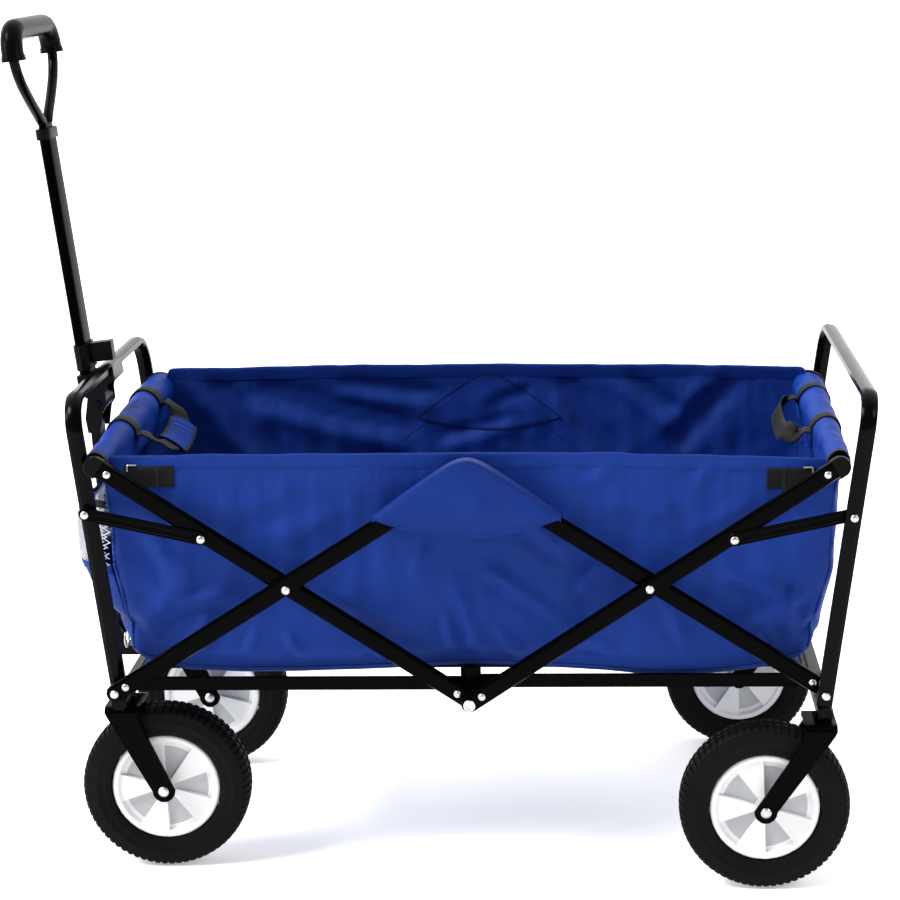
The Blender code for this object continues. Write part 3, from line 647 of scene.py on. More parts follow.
base_rows = tub_rows()
row_count, col_count = base_rows.shape[:2]
tub = build("tub_walls", base_rows, quads(row_count, col_count, wrap_cols=True), CLOTH,
            uvs=np.stack(np.meshgrid(np.linspace(0, 2.44, col_count), np.linspace(0, 0.32, row_count)),
                         axis=2), smooth=180.0)
flat_points = base_rows.reshape(-1, 3) + np.array((X0, 0, 0))
moved = flat_points.copy()
wall_share = np.clip((np.arange(row_count) - 2) / WALL_ROWS, 0, 1)
free = np.repeat(ease(wall_share, 0.0, 0.12) * (1 - ease(wall_share, 0.90, 0.99)), col_count)
pins = 1 - 0.995 * free
settled = drape(tub, pins, 26, 0.012, 0.8)
change = settled - flat_points
size = np.linalg.norm(change, axis=1, keepdims=True)
moved = flat_points + change * np.minimum(1, 0.0085 / np.maximum(size, 1e-9))
plan_all = np.tile(PLAN, (row_count, 1))
side_wall = np.abs(plan_all[:, 1]) > 0.9999
for side in SIDES:
    here = side_wall & (plan_all[:, 1] * side > 0)
    depth = crease_depth(moved[here, 0] - X0, moved[here, 2], side)
    ends = 1 - ease(np.abs(plan_all[here, 0]), 0.93, 0.99)
    moved[here, 1] += side * depth * ends * (0.35 + 0.65 * free[here])
outward = np.stack([np.where(side_wall, 0, np.sign(plan_all[:, 0])),
                    np.where(side_wall, np.sign(plan_all[:, 1]), 0)], 1)
for i, point in enumerate(moved):
    swell = 0.0030 * fractal(point, 11.0, 3.0) + 0.0011 * fractal(point, 34.0, 8.0)
    moved[i, :2] += outward[i] * swell * (0.25 + 0.75 * free[i])
    moved[i, 2] += 0.0016 * fractal((point[0] * 6, point[1] * 6, 0), 2.2, 5.0) * (1 - free[i]) \
        * wall_share[i // col_count]
limit_y = np.where(np.abs(moved[:, 0] - X0) > 0.36, 0.2060, 0.2090)
limit_y = np.where(moved[:, 2] < 0.2480, 0.1915, np.where(moved[:, 2] < 0.2600, 0.1990, limit_y))
moved[:, 1] = np.clip(moved[:, 1], -limit_y, limit_y)
tub.data.vertices.foreach_set("co", moved.astype(np.float32).ravel())
tub.data.update()
smoother = tub.modifiers.new("smooth", "SUBSURF")
smoother.levels = smoother.render_levels = 1
apply_modifiers(tub)
tub.data.shade_smooth()

TUB_TREE = BVHTree.FromPolygons([v.co.copy() for v in tub.data.vertices],
                                [tuple(p.vertices) for p in tub.data.polygons])


def on_side(x, z, side, outside=True, lift=0.0):
    """Point on a long wall of the tub, on its outer or inner face."""
    start = Vector((x + X0, side * (0.30 if outside else 0.10), z))
    hit = TUB_TREE.ray_cast(start, Vector((0, -side if outside else side, 0)))[0]
    y = hit.y if hit else side * 0.2
    return np.array((x, y + (side if outside else -side) * lift, z))


def on_end(y, z, end, outside=True, lift=0.0):
    start = Vector((end * (0.50 if outside else 0.30) + X0, y, z))
    hit = TUB_TREE.ray_cast(start, Vector((-end if outside else end, 0, 0)))[0]
    x = hit.x - X0 if hit else end * 0.41
    return np.array((x + (end if outside else -end) * lift, y, z))


solid = tub.modifiers.new("thickness", "SOLIDIFY")
solid.thickness, solid.offset = 0.0010, 0.0
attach(tub, "top_hub")
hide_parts("basket_walls")
TUB_PARTS = [tub]


def with_tub(piece):
    """Rides on the upper centre pivot and joins the list of tub pieces."""
    if piece.parent is None:
        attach(piece, "top_hub")
    TUB_PARTS.append(piece)
    return piece


# seams and stitches along the hem, the foot and the corners
for side, hand in SIDES.items():
    far = 0.0 if side < 0 else 1.0
    xs = np.linspace(-0.398, 0.400, 130)
    tops = top_height(xs, far)
    lows = low_height(xs)
    for word, heights, outside in (("hem_out", tops - 0.0150, True), ("hem_in", tops - 0.0170, False),
                                   ("foot_a", lows + 0.0095, True)):
        line = [on_side(x, z, side, outside, 0.0006) for x, z in zip(xs, heights)]
        normal = (0, side if outside else -side, 0)
        with_tub(stitches(f"stitch_{word}_{hand}", line, normal, STITCH, None))
    line = [on_side(x, z, side, True, 0.0004) for x, z in zip(xs, lows + 0.0062)]
    with_tub(tube(f"foot_seam_{hand}", line, 0.0006, SEAM, None, sides=6))

for end, word in ENDS.items():
    for side, hand in SIDES.items():
        line = []
        for k in range(40):
            share = 0.02 + 0.90 * k / 39
            z = 0.268 + (0.500 - 0.268) * share
            half = np.interp(share, *(FRONT_X if end < 0 else REAR_X))
            half_y = np.interp(share, *HALF_Y)
            corner = Vector((end * (half - CORNER_R) + X0, side * (half_y - CORNER_R), z))
            away = Vector((end, side, 0)).normalized()
            hit = TUB_TREE.ray_cast(corner + away * 0.05, -away)[0]
            wave = 0.0008 * math.sin(k * 0.9 + end + 2 * side)
            line.append(np.array(hit if hit else corner + away * CORNER_R) - (X0, 0, 0)
                        + np.array(away) * (0.0006 + wave))
        with_tub(tube(f"corner_piping_{word}_{hand}", line, 0.0021, CLOTH, None, sides=8))
        with_tub(stitches(f"stitch_corner_{word}_{hand}",
                          [p + np.array((-end * 0.0070, side * 0.0026, 0)) for p in line],
                          (0, side, 0), STITCH, None))


# ------------------------------------------------------------------ flap over the upper pivot
FLAP_W, FLAP_PEAK, FLAP_CORNER, FLAP_LOW = 0.1075, 0.5112, 0.4445, 0.4225
FLAP_BEND, FLAP_OUT = 0.0045, 0.2450
ROOF_DROP = 0.0085


def flap_top(x):
    s = np.abs(x) / FLAP_W
    return FLAP_PEAK - (FLAP_PEAK - FLAP_CORNER) * (np.sqrt(s * s + 0.035) - 0.187) / 0.830


def flap_low(x):
    return FLAP_CORNER - (FLAP_CORNER - FLAP_LOW) * (1 - (x / FLAP_W) ** 2)


def flap_column(x, side):
    """Down one column of the flap: out from the wall over the bars, round the bend, then down."""
    high, low = float(flap_top(x)), float(flap_low(x))
    wall = on_side(x, high - ROOF_DROP, side)
    inside = abs(float(wall[1])) - 0.0006
    bend, out = FLAP_BEND, FLAP_OUT
    near_corner = (abs(x) / FLAP_W) ** 6
    column = [(inside + (out - bend - inside) * t,
               high - (1 - t) ** 3 * (ROOF_DROP + 0.0010 * near_corner))
              for t in np.linspace(0, 1, 6)]
    for angle in np.linspace(0, 90, 6)[1:]:
        column.append((out - bend + bend * math.sin(math.radians(angle)),
                       high - bend * (1 - math.cos(math.radians(angle)))))
    drop = high - bend - low
    edge = 1 - abs(x) / FLAP_W
    for t in np.linspace(0, 1, 15)[1:]:
        swell = 0.0030 * math.sin(math.pi * min(t * 1.1, 1)) * edge ** 0.6
        swell += 0.0022 * math.exp(-((x - 0.012) / 0.016) ** 2) * math.sin(math.pi * t)
        column.append((out + swell, high - bend - drop * t))
    points = []
    for k, (y, z) in enumerate(column):
        wave = 0.0011 * fractal((x, side * y, z), 20.0, 2.0) * min(k / 6, 1)
        points.append((x, side * (y + abs(wave) * (k > 8)), z + wave * (k <= 8)))
    return points


for side, hand in SIDES.items():
    cols = 61
    columns = [flap_column(FLAP_W * math.sin(math.pi / 2 * (2 * j / (cols - 1) - 1)), side)
               for j in range(cols)]
    grid = np.transpose(np.array(columns), (1, 0, 2))
    flap = sheet_piece(f"flap_{hand}", grid, CLOTH_FLAP_SHADE, None, 0.0011, subdiv=1)
    with_tub(flap)
    hem_line = [grid[-1, j] + (0, side * 0.0007, 0.0062 * (1 - (grid[-1, j, 0] / FLAP_W) ** 2) + 0.0004)
                for j in range(3, cols - 3)]
    with_tub(stitches(f"stitch_flap_{hand}", hem_line, (0, side, 0), STITCH, None))
    with_tub(tube(f"flap_edge_{hand}", grid[-1] + np.array((0, 0, 0.0003)), 0.0011, CLOTH_FLAP_SHADE, None,
                  sides=6))
    bend_line = [grid[8, j] + (0, side * 0.0003, 0.0004) for j in range(1, cols - 1)]
    with_tub(stitches(f"stitch_bend_{hand}", bend_line, (0, side, 0), SEAM, None))
    # dark cord along the flap's top: partly the seam, partly a painted shadow line where the flap stands off
    # the wall
    with_tub(tube(f"flap_top_seam_and_shadow_{hand}", grid[0] + np.array((0, side * 0.0008, 0.0006)), 0.0010, SEAM,
                  None, sides=6))

    # the same shape sewn flat on the inside, with its two seams
    rise = 0.0190 if side > 0 else 0.0
    cols, rows = 45, 15
    patch = np.zeros((rows, cols, 3))
    for j in range(cols):
        x = 0.0955 * math.sin(math.pi / 2 * (2 * j / (cols - 1) - 1))
        high, low = float(flap_top(x)) + rise - 0.004, float(flap_low(x)) + rise + 0.010
        low = min(low, high - 0.0008)
        x += 0.0075 * (side > 0)
        for i in range(rows):
            z = high + (low - high) * i / (rows - 1)
            patch[i, j] = on_side(x, z, side, False, 0.0013)
    piece = sheet_piece(f"inner_patch_{hand}", patch, CLOTH, None, 0.0010, subdiv=1)
    with_tub(piece)
    rim = [patch[0, j] + (0, -side * 0.0006, 0) for j in range(cols)]
    low_rim = [patch[-1, j] + (0, -side * 0.0006, 0) for j in range(cols)]
    with_tub(tube(f"patch_seam_top_{hand}", rim, 0.0006, SEAM, None, sides=6))
    with_tub(tube(f"patch_seam_low_{hand}", low_rim, 0.0006, SEAM, None, sides=6))
    inset = [p + (0, -side * 0.0002, 0.0045) for p in low_rim[3:-3]]
    with_tub(stitches(f"stitch_patch_{hand}", inset, (0, -side, 0), STITCH, None))

# ------------------------------------------------------------------ sleeves round the cross tubes
TUBE_X, TUBE_Z = 0.4243, 0.5025
SLEEVE_Y = 0.2175


def sleeve_section(end, y):
    """Loop of cloth round a cross tube: up the inner side, over and down the outer side."""
    far = (y + SLEEVE_Y) / (2 * SLEEVE_Y)
    radius = 0.0125 + 0.0085 * far ** 0.9
    middle_x = TUBE_X + 0.40 * (radius - 0.0095)
    middle_z = TUBE_Z - 0.0005 + 0.35 * (radius - 0.0095)
    skirt = 0.0120 * (1 - ease(np.array(abs(y)), 0.190, 0.2120))
    pts = [(0.4118, 0.4740), (0.4125, 0.4830 + 0.003 * far)]
    for angle in np.linspace(math.radians(200), math.radians(-20), 17):
        gather = 1 + 0.030 * math.sin(38 * y + 3 * angle) + 0.022 * math.sin(97 * y - 2 * angle)
        pts.append((middle_x + radius * gather * math.cos(angle),
                    middle_z + radius * gather * math.sin(angle)))
    pts += [(0.4300, 0.4920 - 0.7 * skirt + 0.003 * far), (0.4275, 0.4850 - skirt)]
    return [(end * x, y, z) for x, z in pts]


for end, word in ENDS.items():
    ys = np.linspace(-SLEEVE_Y, SLEEVE_Y, 66)
    grid = np.array([sleeve_section(end, y) for y in ys])
    for i in range(grid.shape[0]):
        for j in range(grid.shape[1]):
            swell = 0.0014 * fractal(grid[i, j], 26.0, 4.0)
            grid[i, j, 2] += swell
            grid[i, j, 0] += end * swell * 0.6
    sleeve = sheet_piece(f"sleeve_{word}", grid, CLOTH_SLEEVE_LIT, f"arm_a_{word}", 0.0010, subdiv=1)
    for row, label in ((1, "in"), (-2, "out")):
        line = grid[:, row] + np.array((end * (-0.0009 if row == 1 else 0.0009), 0, 0))
        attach(stitches(f"stitch_sleeve_{word}_{label}", line, (-end if row == 1 else end, 0, 0),
                         STITCH, None), f"arm_a_{word}")
    # black tape bound round both ends of the sleeve
    for side, hand in SIDES.items():
        section = np.array(sleeve_section(end, side * SLEEVE_Y))[1:-2]
        centre = section[1:-1].mean(axis=0)
        band = []
        for width in (0.0000, 0.0040, 0.0080, 0.0110):
            ring_points = section.copy()
            ring_points[:, 0] = centre[0] + (section[:, 0] - centre[0]) * 1.07
            ring_points[:, 2] = centre[2] + (section[:, 2] - centre[2]) * 1.05
            ring_points[:, 1] = side * (SLEEVE_Y + 0.0008 - width)
            band.append(ring_points)
        piece = sheet_piece(f"sleeve_tape_{word}_{hand}", np.array(band), WEBBING,
                            f"arm_a_{word}", 0.0011, subdiv=1)

# ------------------------------------------------------------------ carry loops on both ends
LOOPS = {-1: (-0.050, 0.108), 1: (-0.045, 0.120)}
for end, word in ENDS.items():
    y_near, y_far = LOOPS[end]
    body = f"arm_a_{word}"

    def over_sleeve(y, lift=0.0016):
        """Points over a sleeve at y, from its outer side to its inner side."""
        section = np.array(sleeve_section(end, y))
        centre = section[2:-2].mean(axis=0)
        picked = section[3:-3][::-1]
        away = picked - centre
        away[:, 1] = 0
        away /= np.linalg.norm(away, axis=1, keepdims=True)
        return list(picked + away * lift)

    depth_x, depth_z = (0.049, 0.483) if end < 0 else (0.047, 0.497)
    middle = (y_near + y_far) / 2
    bight_x = end * (TUBE_X - depth_x)
    near_run = over_sleeve(y_near)
    far_run = over_sleeve(y_far)[::-1]
    points = near_run + [
        (end * 0.4020, y_near + 0.002, 0.5020), (end * 0.3900, y_near + 0.006, 0.4945),
        (bight_x + end * 0.006, y_near + 0.016, depth_z + 0.002), (bight_x, y_near + 0.036, depth_z - 0.003),
        (bight_x, middle, depth_z - 0.006), (bight_x, y_far - 0.036, depth_z + 0.002),
        (bight_x + end * 0.006, y_far - 0.016, depth_z + 0.008), (end * 0.3900, y_far - 0.006, 0.5030),
        (end * 0.4020, y_far - 0.002, 0.5100)] + far_run
    path = smooth_path(points, 120)
    tangent = frames_along(path)
    across = np.zeros_like(path)
    flat_way = np.array((end * 0.85, 0, 0.53) if end < 0 else (end * 0.45, 0, 0.89))
    for i, (p, t) in enumerate(zip(path, tangent)):
        turn = ease(np.array(abs(end * TUBE_X - p[0])), 0.020, 0.046)
        lean = np.array((0, 1 if i < 60 else -1, 0)) * (1 - turn) + flat_way * turn
        lean = lean - t * np.dot(lean, t)
        across[i] = lean / max(np.linalg.norm(lean), 1e-6)
    loop = ribbon(f"carry_loop_{word}", path, across, 0.0235, 0.0016, WEBBING, body)
    if end < 0:
        wrap_rows = []
        for k in np.linspace(44, 76, 27):
            i = int(round(k))
            t, a = tangent[i], across[i]
            n = np.cross(t, a)
            full = 0.0040 + 0.0014 * math.sin(1.7 * k)
            wrap_rows.append([path[i] + a * 0.0165 * math.copysign(abs(math.cos(w)) ** 0.7, math.cos(w))
                              + n * full * math.sin(w)
                              for w in np.linspace(0, 2 * math.pi, 24, endpoint=False)])
        # the wrap takes the sleeves' lighter blue, which is painted light
        wrap = sheet_piece("loop_wrap_front", np.array(wrap_rows), CLOTH_SLEEVE_LIT, body, 0.0012,
                           subdiv=1, wrap=True)
        for sign, label in ((1, "out"), (-1, "in")):
            picks = [int(round(k)) for k in np.linspace(44, 76, 27)]
            edge = [path[i] + across[i] * 0.0172 * sign for i in picks]
            tube(f"loop_wrap_edge_{label}", edge, 0.0024, WEBBING, body, sides=8)

# ------------------------------------------------------------------ webbing tabs with a wire hook
for side, hand in SIDES.items():
    for end, word, x0, x1, z_mid in ((-1, "front", -0.3960, -0.3385, 0.4850),
                                     (1, "rear", 0.3440, 0.4010, 0.4800)):
        rise = 0.016 if side > 0 else 0.0
        grid = np.array([[on_side(x, z_mid + rise + dz, side, True, 0.0012)
                          for x in np.linspace(x0, x1, 24)]
                         for dz in np.linspace(-0.0122, 0.0122, 7)])
        tab = sheet_piece(f"tab_{word}_{hand}", grid, WEBBING, None, 0.0016)
        with_tub(tab)
        seam_x = (x1 - 0.0200) if end < 0 else (x0 + 0.0185)
        for k, dx in enumerate((0.0, 0.0016)):
            line = [on_side(seam_x + dx, z_mid + rise + dz, side, True, 0.0023)
                    for dz in np.linspace(-0.0115, 0.0115, 12)]
            with_tub(stitches(f"stitch_tab_{word}_{hand}_{k}", line, (0, side, 0), WEB_THREAD, None))
        tip = x0 + 0.004 if end < 0 else x1 - 0.004
        start = on_side(tip, z_mid + rise + 0.0125, side, True, 0.0030)
        wire = smooth_path([start + (0, 0, -0.0060), start + (0, 0, -0.0010),
                            start + (-end * 0.0016, 0, 0.0012), start + (-end * 0.0110, 0, 0.0013)], 20)
        with_tub(tube(f"wire_hook_{word}_{hand}", wire, 0.0010, RIVET, None))

# ------------------------------------------------------------------ net pocket on the front end
POCKET_Y, POCKET_TOP, NET_FOOT, POCKET_FOOT = 0.1860, 0.4470, 0.3680, 0.3100
POCKET_PLAN = ((0.0, 0.030, 0.060, 0.120, 0.152, 0.172, 0.186),
               (0.031, 0.033, 0.044, 0.0510, 0.046, 0.028, 0.001))
POCKET_RISE = ((0.0, 0.10, 0.26, 0.55, 0.75, 0.90, 1.0), (0.0, 0.44, 0.74, 0.98, 1.0, 0.93, 0.74))


def pocket_point(s, z):
    """Point of the pocket at s from -1 to 1 across the end wall: slack between seams and top band."""
    y = s * POCKET_Y
    t = (z - POCKET_FOOT) / (POCKET_TOP - POCKET_FOOT)
    wall = on_end(y, z, -1)
    bulge = 0.0010 + np.interp(abs(y), *POCKET_PLAN) * np.interp(t, *POCKET_RISE)
    bulge *= 1 + 0.05 * math.sin(9 * s + 2 * t)
    bulge = min(bulge, wall[0] + (0.4495 if abs(y) < 0.035 else 0.4690))
    return np.array((wall[0] - bulge, y, z - 0.008 * t * math.sin(math.pi * abs(s)) ** 2))


low_rows = np.array([[pocket_point(s, z) for s in np.linspace(-1, 1, 60)]
                     for z in np.linspace(POCKET_FOOT, NET_FOOT, 14)])
pocket = with_tub(sheet_piece("pocket_foot", low_rows, CLOTH, None, 0.0010, subdiv=1))
net_verts, net_faces = [], []
CELL = 0.0042
high = POCKET_TOP - NET_FOOT
for family in (1, -1):
    count = int((2 * POCKET_Y + high) / CELL)
    for k in range(count):
        start = -POCKET_Y + k * CELL - (high if family > 0 else 0)
        line = []
        for m in range(13):
            z = NET_FOOT + high * m / 12
            y = start + (z - NET_FOOT) if family > 0 else start - (z - NET_FOOT) + 0.0
            if abs(y) <= POCKET_Y:
                line.append(pocket_point(y / POCKET_Y, z))
        if len(line) < 2:
            continue
        line = np.array(line)
        tangent = frames_along(line)
        for q, (p, t) in enumerate(zip(line, tangent)):
            side_way = np.cross(t, (-1, 0, 0))
            side_way /= np.linalg.norm(side_way)
            front_way = np.cross(side_way, t)
            for m in range(3):
                angle = 2 * math.pi * m / 3
                net_verts.append(p + 0.00058 * (side_way * math.cos(angle) + front_way * math.sin(angle)))
        base = len(net_verts) - 3 * len(line)
        net_faces += quads(len(line), 3, wrap_cols=True, start=base)
with_tub(build("pocket_net", net_verts, net_faces, MESHNET, smooth=180.0))
for label, z in (("top", POCKET_TOP), ("mid", NET_FOOT)):
    band = np.array([[pocket_point(s, z + dz) + (-0.0012, 0, 0) for s in np.linspace(-1, 1, 60)]
                     for dz in (-0.0045, 0.0, 0.0045)])
    with_tub(sheet_piece(f"pocket_band_{label}", band, WEBBING if label == "top" else CLOTH, None,
                         0.0016))

# closing strap with a ring, at the foot of the front end
for side, hand in SIDES.items():
    y = side * 0.150
    line = smooth_path([on_end(y, 0.318, -1, True, 0.0030), on_end(y, 0.308, -1, True, 0.0050),
                        on_end(y, 0.296, -1, True, 0.0072), on_end(y, 0.284, -1, True, 0.0080)], 24)
    with_tub(ribbon(f"closing_strap_{hand}", line, np.tile((0, 1.0, 0), (24, 1)), 0.0190, 0.0016,
                    WEBBING, None))
    centre = line[-1] + (0, 0, -0.0100)
    hoop = [centre + np.array((0.0, 0.0105 * math.cos(a), 0.0105 * math.sin(a)))
            for a in np.linspace(0, 2 * math.pi, 25)]
    with_tub(tube(f"closing_ring_{hand}", hoop, 0.0013, RIVET, None, up=(1, 0, 0)))

# apply the modifiers of the tub's pieces and give each its own mesh
for piece in TUB_PARTS:
    if piece.modifiers:
        apply_modifiers(piece)
    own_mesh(piece)

# ------------------------------------------------------------------ floor pads
PAD_STITCH_IN, PAD_STITCH_UP = 0.010, 0.0034

for end, word in ENDS.items():
    box_low, box_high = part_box(f"basket_floor_{word}")
    size = box_high - box_low
    cols, rows = 40, 38
    verts = []
    for face in (1, -1):
        for i in range(rows):
            for j in range(cols):
                u, v = j / (cols - 1), i / (rows - 1)
                edge = min(u, 1 - u) * size.x
                edge = min(edge, min(v, 1 - v) * size.y)
                swell = 1 - math.exp(-edge / 0.012)
                x, y = box_low.x + u * size.x, box_low.y + v * size.y
                thick = (0.0010 + 0.0026 * swell) + (0.0004 * fractal((x, y, face), 22.0, 1.0)
                                                     * swell)
                middle = (box_low.z + box_high.z) / 2
                verts.append((x - X0, y, middle + face * thick))
    faces = quads(rows, cols) + [tuple(reversed(f)) for f in quads(rows, cols, start=rows * cols)]
    border = list(range(cols)) + [i * cols + cols - 1 for i in range(1, rows)]
    border += [(rows - 1) * cols + j for j in range(cols - 2, -1, -1)]
    border += [i * cols for i in range(rows - 2, 0, -1)]
    for a, b in zip(border, border[1:] + border[:1]):
        faces.append((b, a, a + rows * cols, b + rows * cols))
    uvs = [(v[0], v[1]) for v in verts]
    pad = build(f"floor_pad_{word}", verts, faces, CLOTH, f"rail_{word}", uvs, 180.0)
    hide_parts(f"basket_floor_{word}")
    middle = (box_low.z + box_high.z) / 2
    inset = 0.0004
    corner = [(box_low.x - X0 + inset, box_low.y + inset), (box_high.x - X0 - inset, box_low.y + inset),
              (box_high.x - X0 - inset, box_high.y - inset), (box_low.x - X0 + inset, box_high.y - inset)]
    edge_path = []
    for (ax, ay), (bx, by) in zip(corner, corner[1:] + corner[:1]):
        for t in np.linspace(0, 1, 20, endpoint=False):
            edge_path.append((ax + (bx - ax) * t, ay + (by - ay) * t, middle))
    edge_path.append(edge_path[0])
    tube(f"floor_piping_{word}", edge_path, 0.0017, SEAM, f"rail_{word}", sides=6)
    path = []
    cx = (corner[0][0] + corner[1][0]) / 2
    for (ax, ay), (bx, by) in zip(corner, corner[1:] + corner[:1]):
        for t in np.linspace(0, 1, 20, endpoint=False):
            x, y = ax + (bx - ax) * t, ay + (by - ay) * t
            path.append((x + math.copysign(PAD_STITCH_IN, cx - x) * (abs(x - cx) > 0.1),
                         y - math.copysign(PAD_STITCH_IN, y) * (abs(y) > 0.1),
                         middle + PAD_STITCH_UP))
    stitches(f"stitch_floor_{word}_0", path, (0, 0, 1), STITCH, f"rail_{word}")

# ------------------------------------------------------------------ wheels
BLOCKS, TREAD_CUT = 70, 0.0015
# radius, half width, kind: 0 side wall, 1 shoulder block, 2 crown block, 3 groove
TYRE_ROWS = ((0.0651, 0.0150, 0), (0.0662, 0.0180, 0), (0.0700, 0.0196, 0), (0.0716, 0.0204, 0),
             (0.0730, 0.0200, 0), (0.0775, 0.0214, 0), (0.0800, 0.0218, 0), (0.0812, 0.0225, 0),
             (0.0828, 0.0225, 0), (0.0840, 0.0220, 0), (0.0900, 0.0217, 0), (0.0928, 0.0211, 0),
             (0.0940, 0.0208, 1), (0.0962, 0.0190, 1), (0.0980, 0.0165, 1), (0.0992, 0.0128, 1),
             (0.0975, 0.0120, 3), (0.0975, 0.0100, 3), (0.0996, 0.0092, 2), (0.0999, 0.0030, 2),
             (0.0978, 0.0022, 3))
# radius, half width on a raised sector, half width on a sunk one
RIM_ROWS = ((0.0080, 0.0160, 0.0160), (0.0105, 0.0158, 0.0158), (0.0120, 0.0152, 0.0124),
            (0.0300, 0.0146, 0.0092), (0.0500, 0.0144, 0.0100), (0.0548, 0.0144, 0.0112),
            (0.0562, 0.0150, 0.0148), (0.0576, 0.0164, 0.0164), (0.0618, 0.0168, 0.0168),
            (0.0638, 0.0152, 0.0152), (0.0646, 0.0100, 0.0100))
SPOKE_TURN = math.radians(38)


def tyre_rings():
    """Rings of the tyre section, tread blocks cut into its shoulders."""
    section = list(TYRE_ROWS) + [(r, -y, kind) for r, y, kind in reversed(TYRE_ROWS)]
    phases = []
    for k in range(BLOCKS):
        for step, tall in ((0.00, 0), (0.07, 1), (0.62, 1), (0.70, 0)):
            phases.append(((k + step) / BLOCKS * 2 * math.pi, tall))
    rings = []
    for r, y, kind in section:
        line = []
        for angle, tall in phases:
            shift = math.pi / BLOCKS if kind == 2 or (kind == 1 and y < 0) else 0.0
            radius = r - (TREAD_CUT if kind in (1, 2) and not tall else 0)
            line.append((radius * math.cos(angle + shift), y * (0.965 if kind == 1 and not tall else 1),
                         radius * math.sin(angle + shift)))
        rings.append(line)
    return np.array(rings)


def rim_rings():
    """Both faces of the rim: five raised sectors and five sunk ones inside a ring."""
    angles, raised = [], []
    for k in range(10):
        for step in (0.012, 0.05, 0.30, 0.50, 0.70, 0.95, 0.988):
            angles.append(SPOKE_TURN + (k - 0.5 + step) * math.radians(36))
            raised.append(k % 2 == 0)
    rows = list(RIM_ROWS) + [(r, -up, -down) for r, up, down in reversed(RIM_ROWS)]
    rings = []
    for r, up, down in rows:
        rings.append([(r * math.cos(a), up if high else down, r * math.sin(a))
                      for a, high in zip(angles, raised)])
    return np.array(rings), raised


TYRE_RINGS = tyre_rings()
RIM_RINGS, RAISED = rim_rings()
for end, word in ENDS.items():
    for side, hand in SIDES.items():
        low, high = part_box(f"tyre_{word}_{hand}")
        middle = np.array(((low.x + high.x) / 2 - X0, (low.y + high.y) / 2, (low.z + high.z) / 2))
        rows, cols = TYRE_RINGS.shape[:2]
        tyre = build(f"tread_{word}_{hand}", TYRE_RINGS + middle, quads(rows, cols, True, True), RUBBER,
                     f"wheel_{word}_{hand}", smooth=38.0)
        tidy_normals(tyre)
        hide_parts(f"tyre_{word}_{hand}")
        rows, cols = RIM_RINGS.shape[:2]
        # marks pick out the sunk sectors, which take the darker grey of painted shade
        marks = []
        for i in range(rows):
            for j in range(cols):
                flat = min(i, rows - 1 - i)
                marks.append(1 if not RAISED[j] and (j % 7) < 6 and 2 <= flat < 5 and i != rows // 2 - 1
                             and i != rows - 1 else 0)
        plate = build(f"rim_plate_{word}_{hand}", RIM_RINGS + middle, quads(rows, cols, True, True),
                      [RIM_UP, RIM_SUNK_SHADE], f"wheel_{word}_{hand}", smooth=30.0, marks=marks)
        tidy_normals(plate)
        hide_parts(f"rim_{word}_{hand}")

# ------------------------------------------------------------------ smoother handle and hoops
SOFT_ANGLE = 58.0


def refined(name, look, body, angle):
    """The node's own shape with its rounded faces shaded as one."""
    source = NODES[name]
    turn = source.matrix_world
    shape = bmesh.new()
    shape.from_mesh(source.data)
    bmesh.ops.transform(shape, matrix=turn, verts=shape.verts)
    bmesh.ops.remove_doubles(shape, verts=shape.verts, dist=0.00002)
    shape.verts.ensure_lookup_table()
    verts = [tuple(v.co - Vector((X0, 0, 0))) for v in shape.verts]
    faces = [tuple(v.index for v in f.verts) for f in shape.faces]
    shape.free()
    piece = build(f"fine_{name}", verts, faces, look, None, smooth=angle)
    tidy_normals(piece)
    weigh = piece.modifiers.new("weigh", "WEIGHTED_NORMAL")
    weigh.keep_sharp = True
    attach(piece, body)
    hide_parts(name)
    return piece


for name, body, look, slot in (("grip", "handle_slide", GRIP, "grip"),
                               ("inner_stem", "handle_slide", COAT_STEM, "coat"),
                               ("handle_fork_near", "handle_slide", COAT, "coat"),
                               ("handle_fork_far", "handle_slide", COAT, "coat"),
                               ("outer_stem", "handle", COAT_STEM, "coat"),
                               ("stem_cap", "handle", PLASTIC, "plastic"),
                               ("handle_socket", "handle", PLASTIC, "plastic"),
                               ("hoop_front", "front_frame", COAT, "coat"),
                               ("hoop_rear", "rear_frame", COAT, "coat")):
    refined(name, look, body, SOFT_ANGLE)

# ------------------------------------------------------------------ rivets, caps and ridges
FOOT = {-1: (-0.4115, 0.2345), 1: (0.4115, 0.2345)}
TIP = {-1: (-0.4243, 0.5025), 1: (0.4243, 0.5025)}
HUB, APEX = (0.0, 0.2205), (0.0, 0.4975)
KNEE = {-1: (-0.3051, 0.4184), 1: (0.3051, 0.4184)}
STAY_POST = {-1: (-0.4369, 0.4475), 1: (0.4395, 0.4471)}
TREES = {}


def surface(name, start, way):
    """Where a line from a point meets a CAD node, as a point about the scissor's centre."""
    if name not in TREES:
        piece = NODES[name]
        turn = piece.matrix_world
        TREES[name] = BVHTree.FromPolygons([turn @ v.co for v in piece.data.vertices],
                                           [tuple(p.vertices) for p in piece.data.polygons])
    hit = TREES[name].ray_cast(Vector(start) + Vector((X0, 0, 0)), Vector(way))[0]
    return None if hit is None else np.array(hit) - (X0, 0, 0)


def rivet(name, place, side, body, radius=0.0042, tall=0.0021, axis="y"):
    """Domed rivet head with a flat washer edge."""
    rows = [(radius * 1.02, -0.0004), (radius * 1.02, 0.0005)]
    for angle in np.linspace(8, 84, 7):
        a = math.radians(angle)
        rows.append((radius * 0.94 * math.cos(a), 0.0005 + (tall - 0.0005) * math.sin(a)))
    return turned(name, [(r, along * side) for r, along in rows], place, RIVET, body, axis, 24,
                  50.0)


def toward(a, b, distance):
    run = np.array(b) - np.array(a)
    return np.array(a) + run / np.linalg.norm(run) * distance


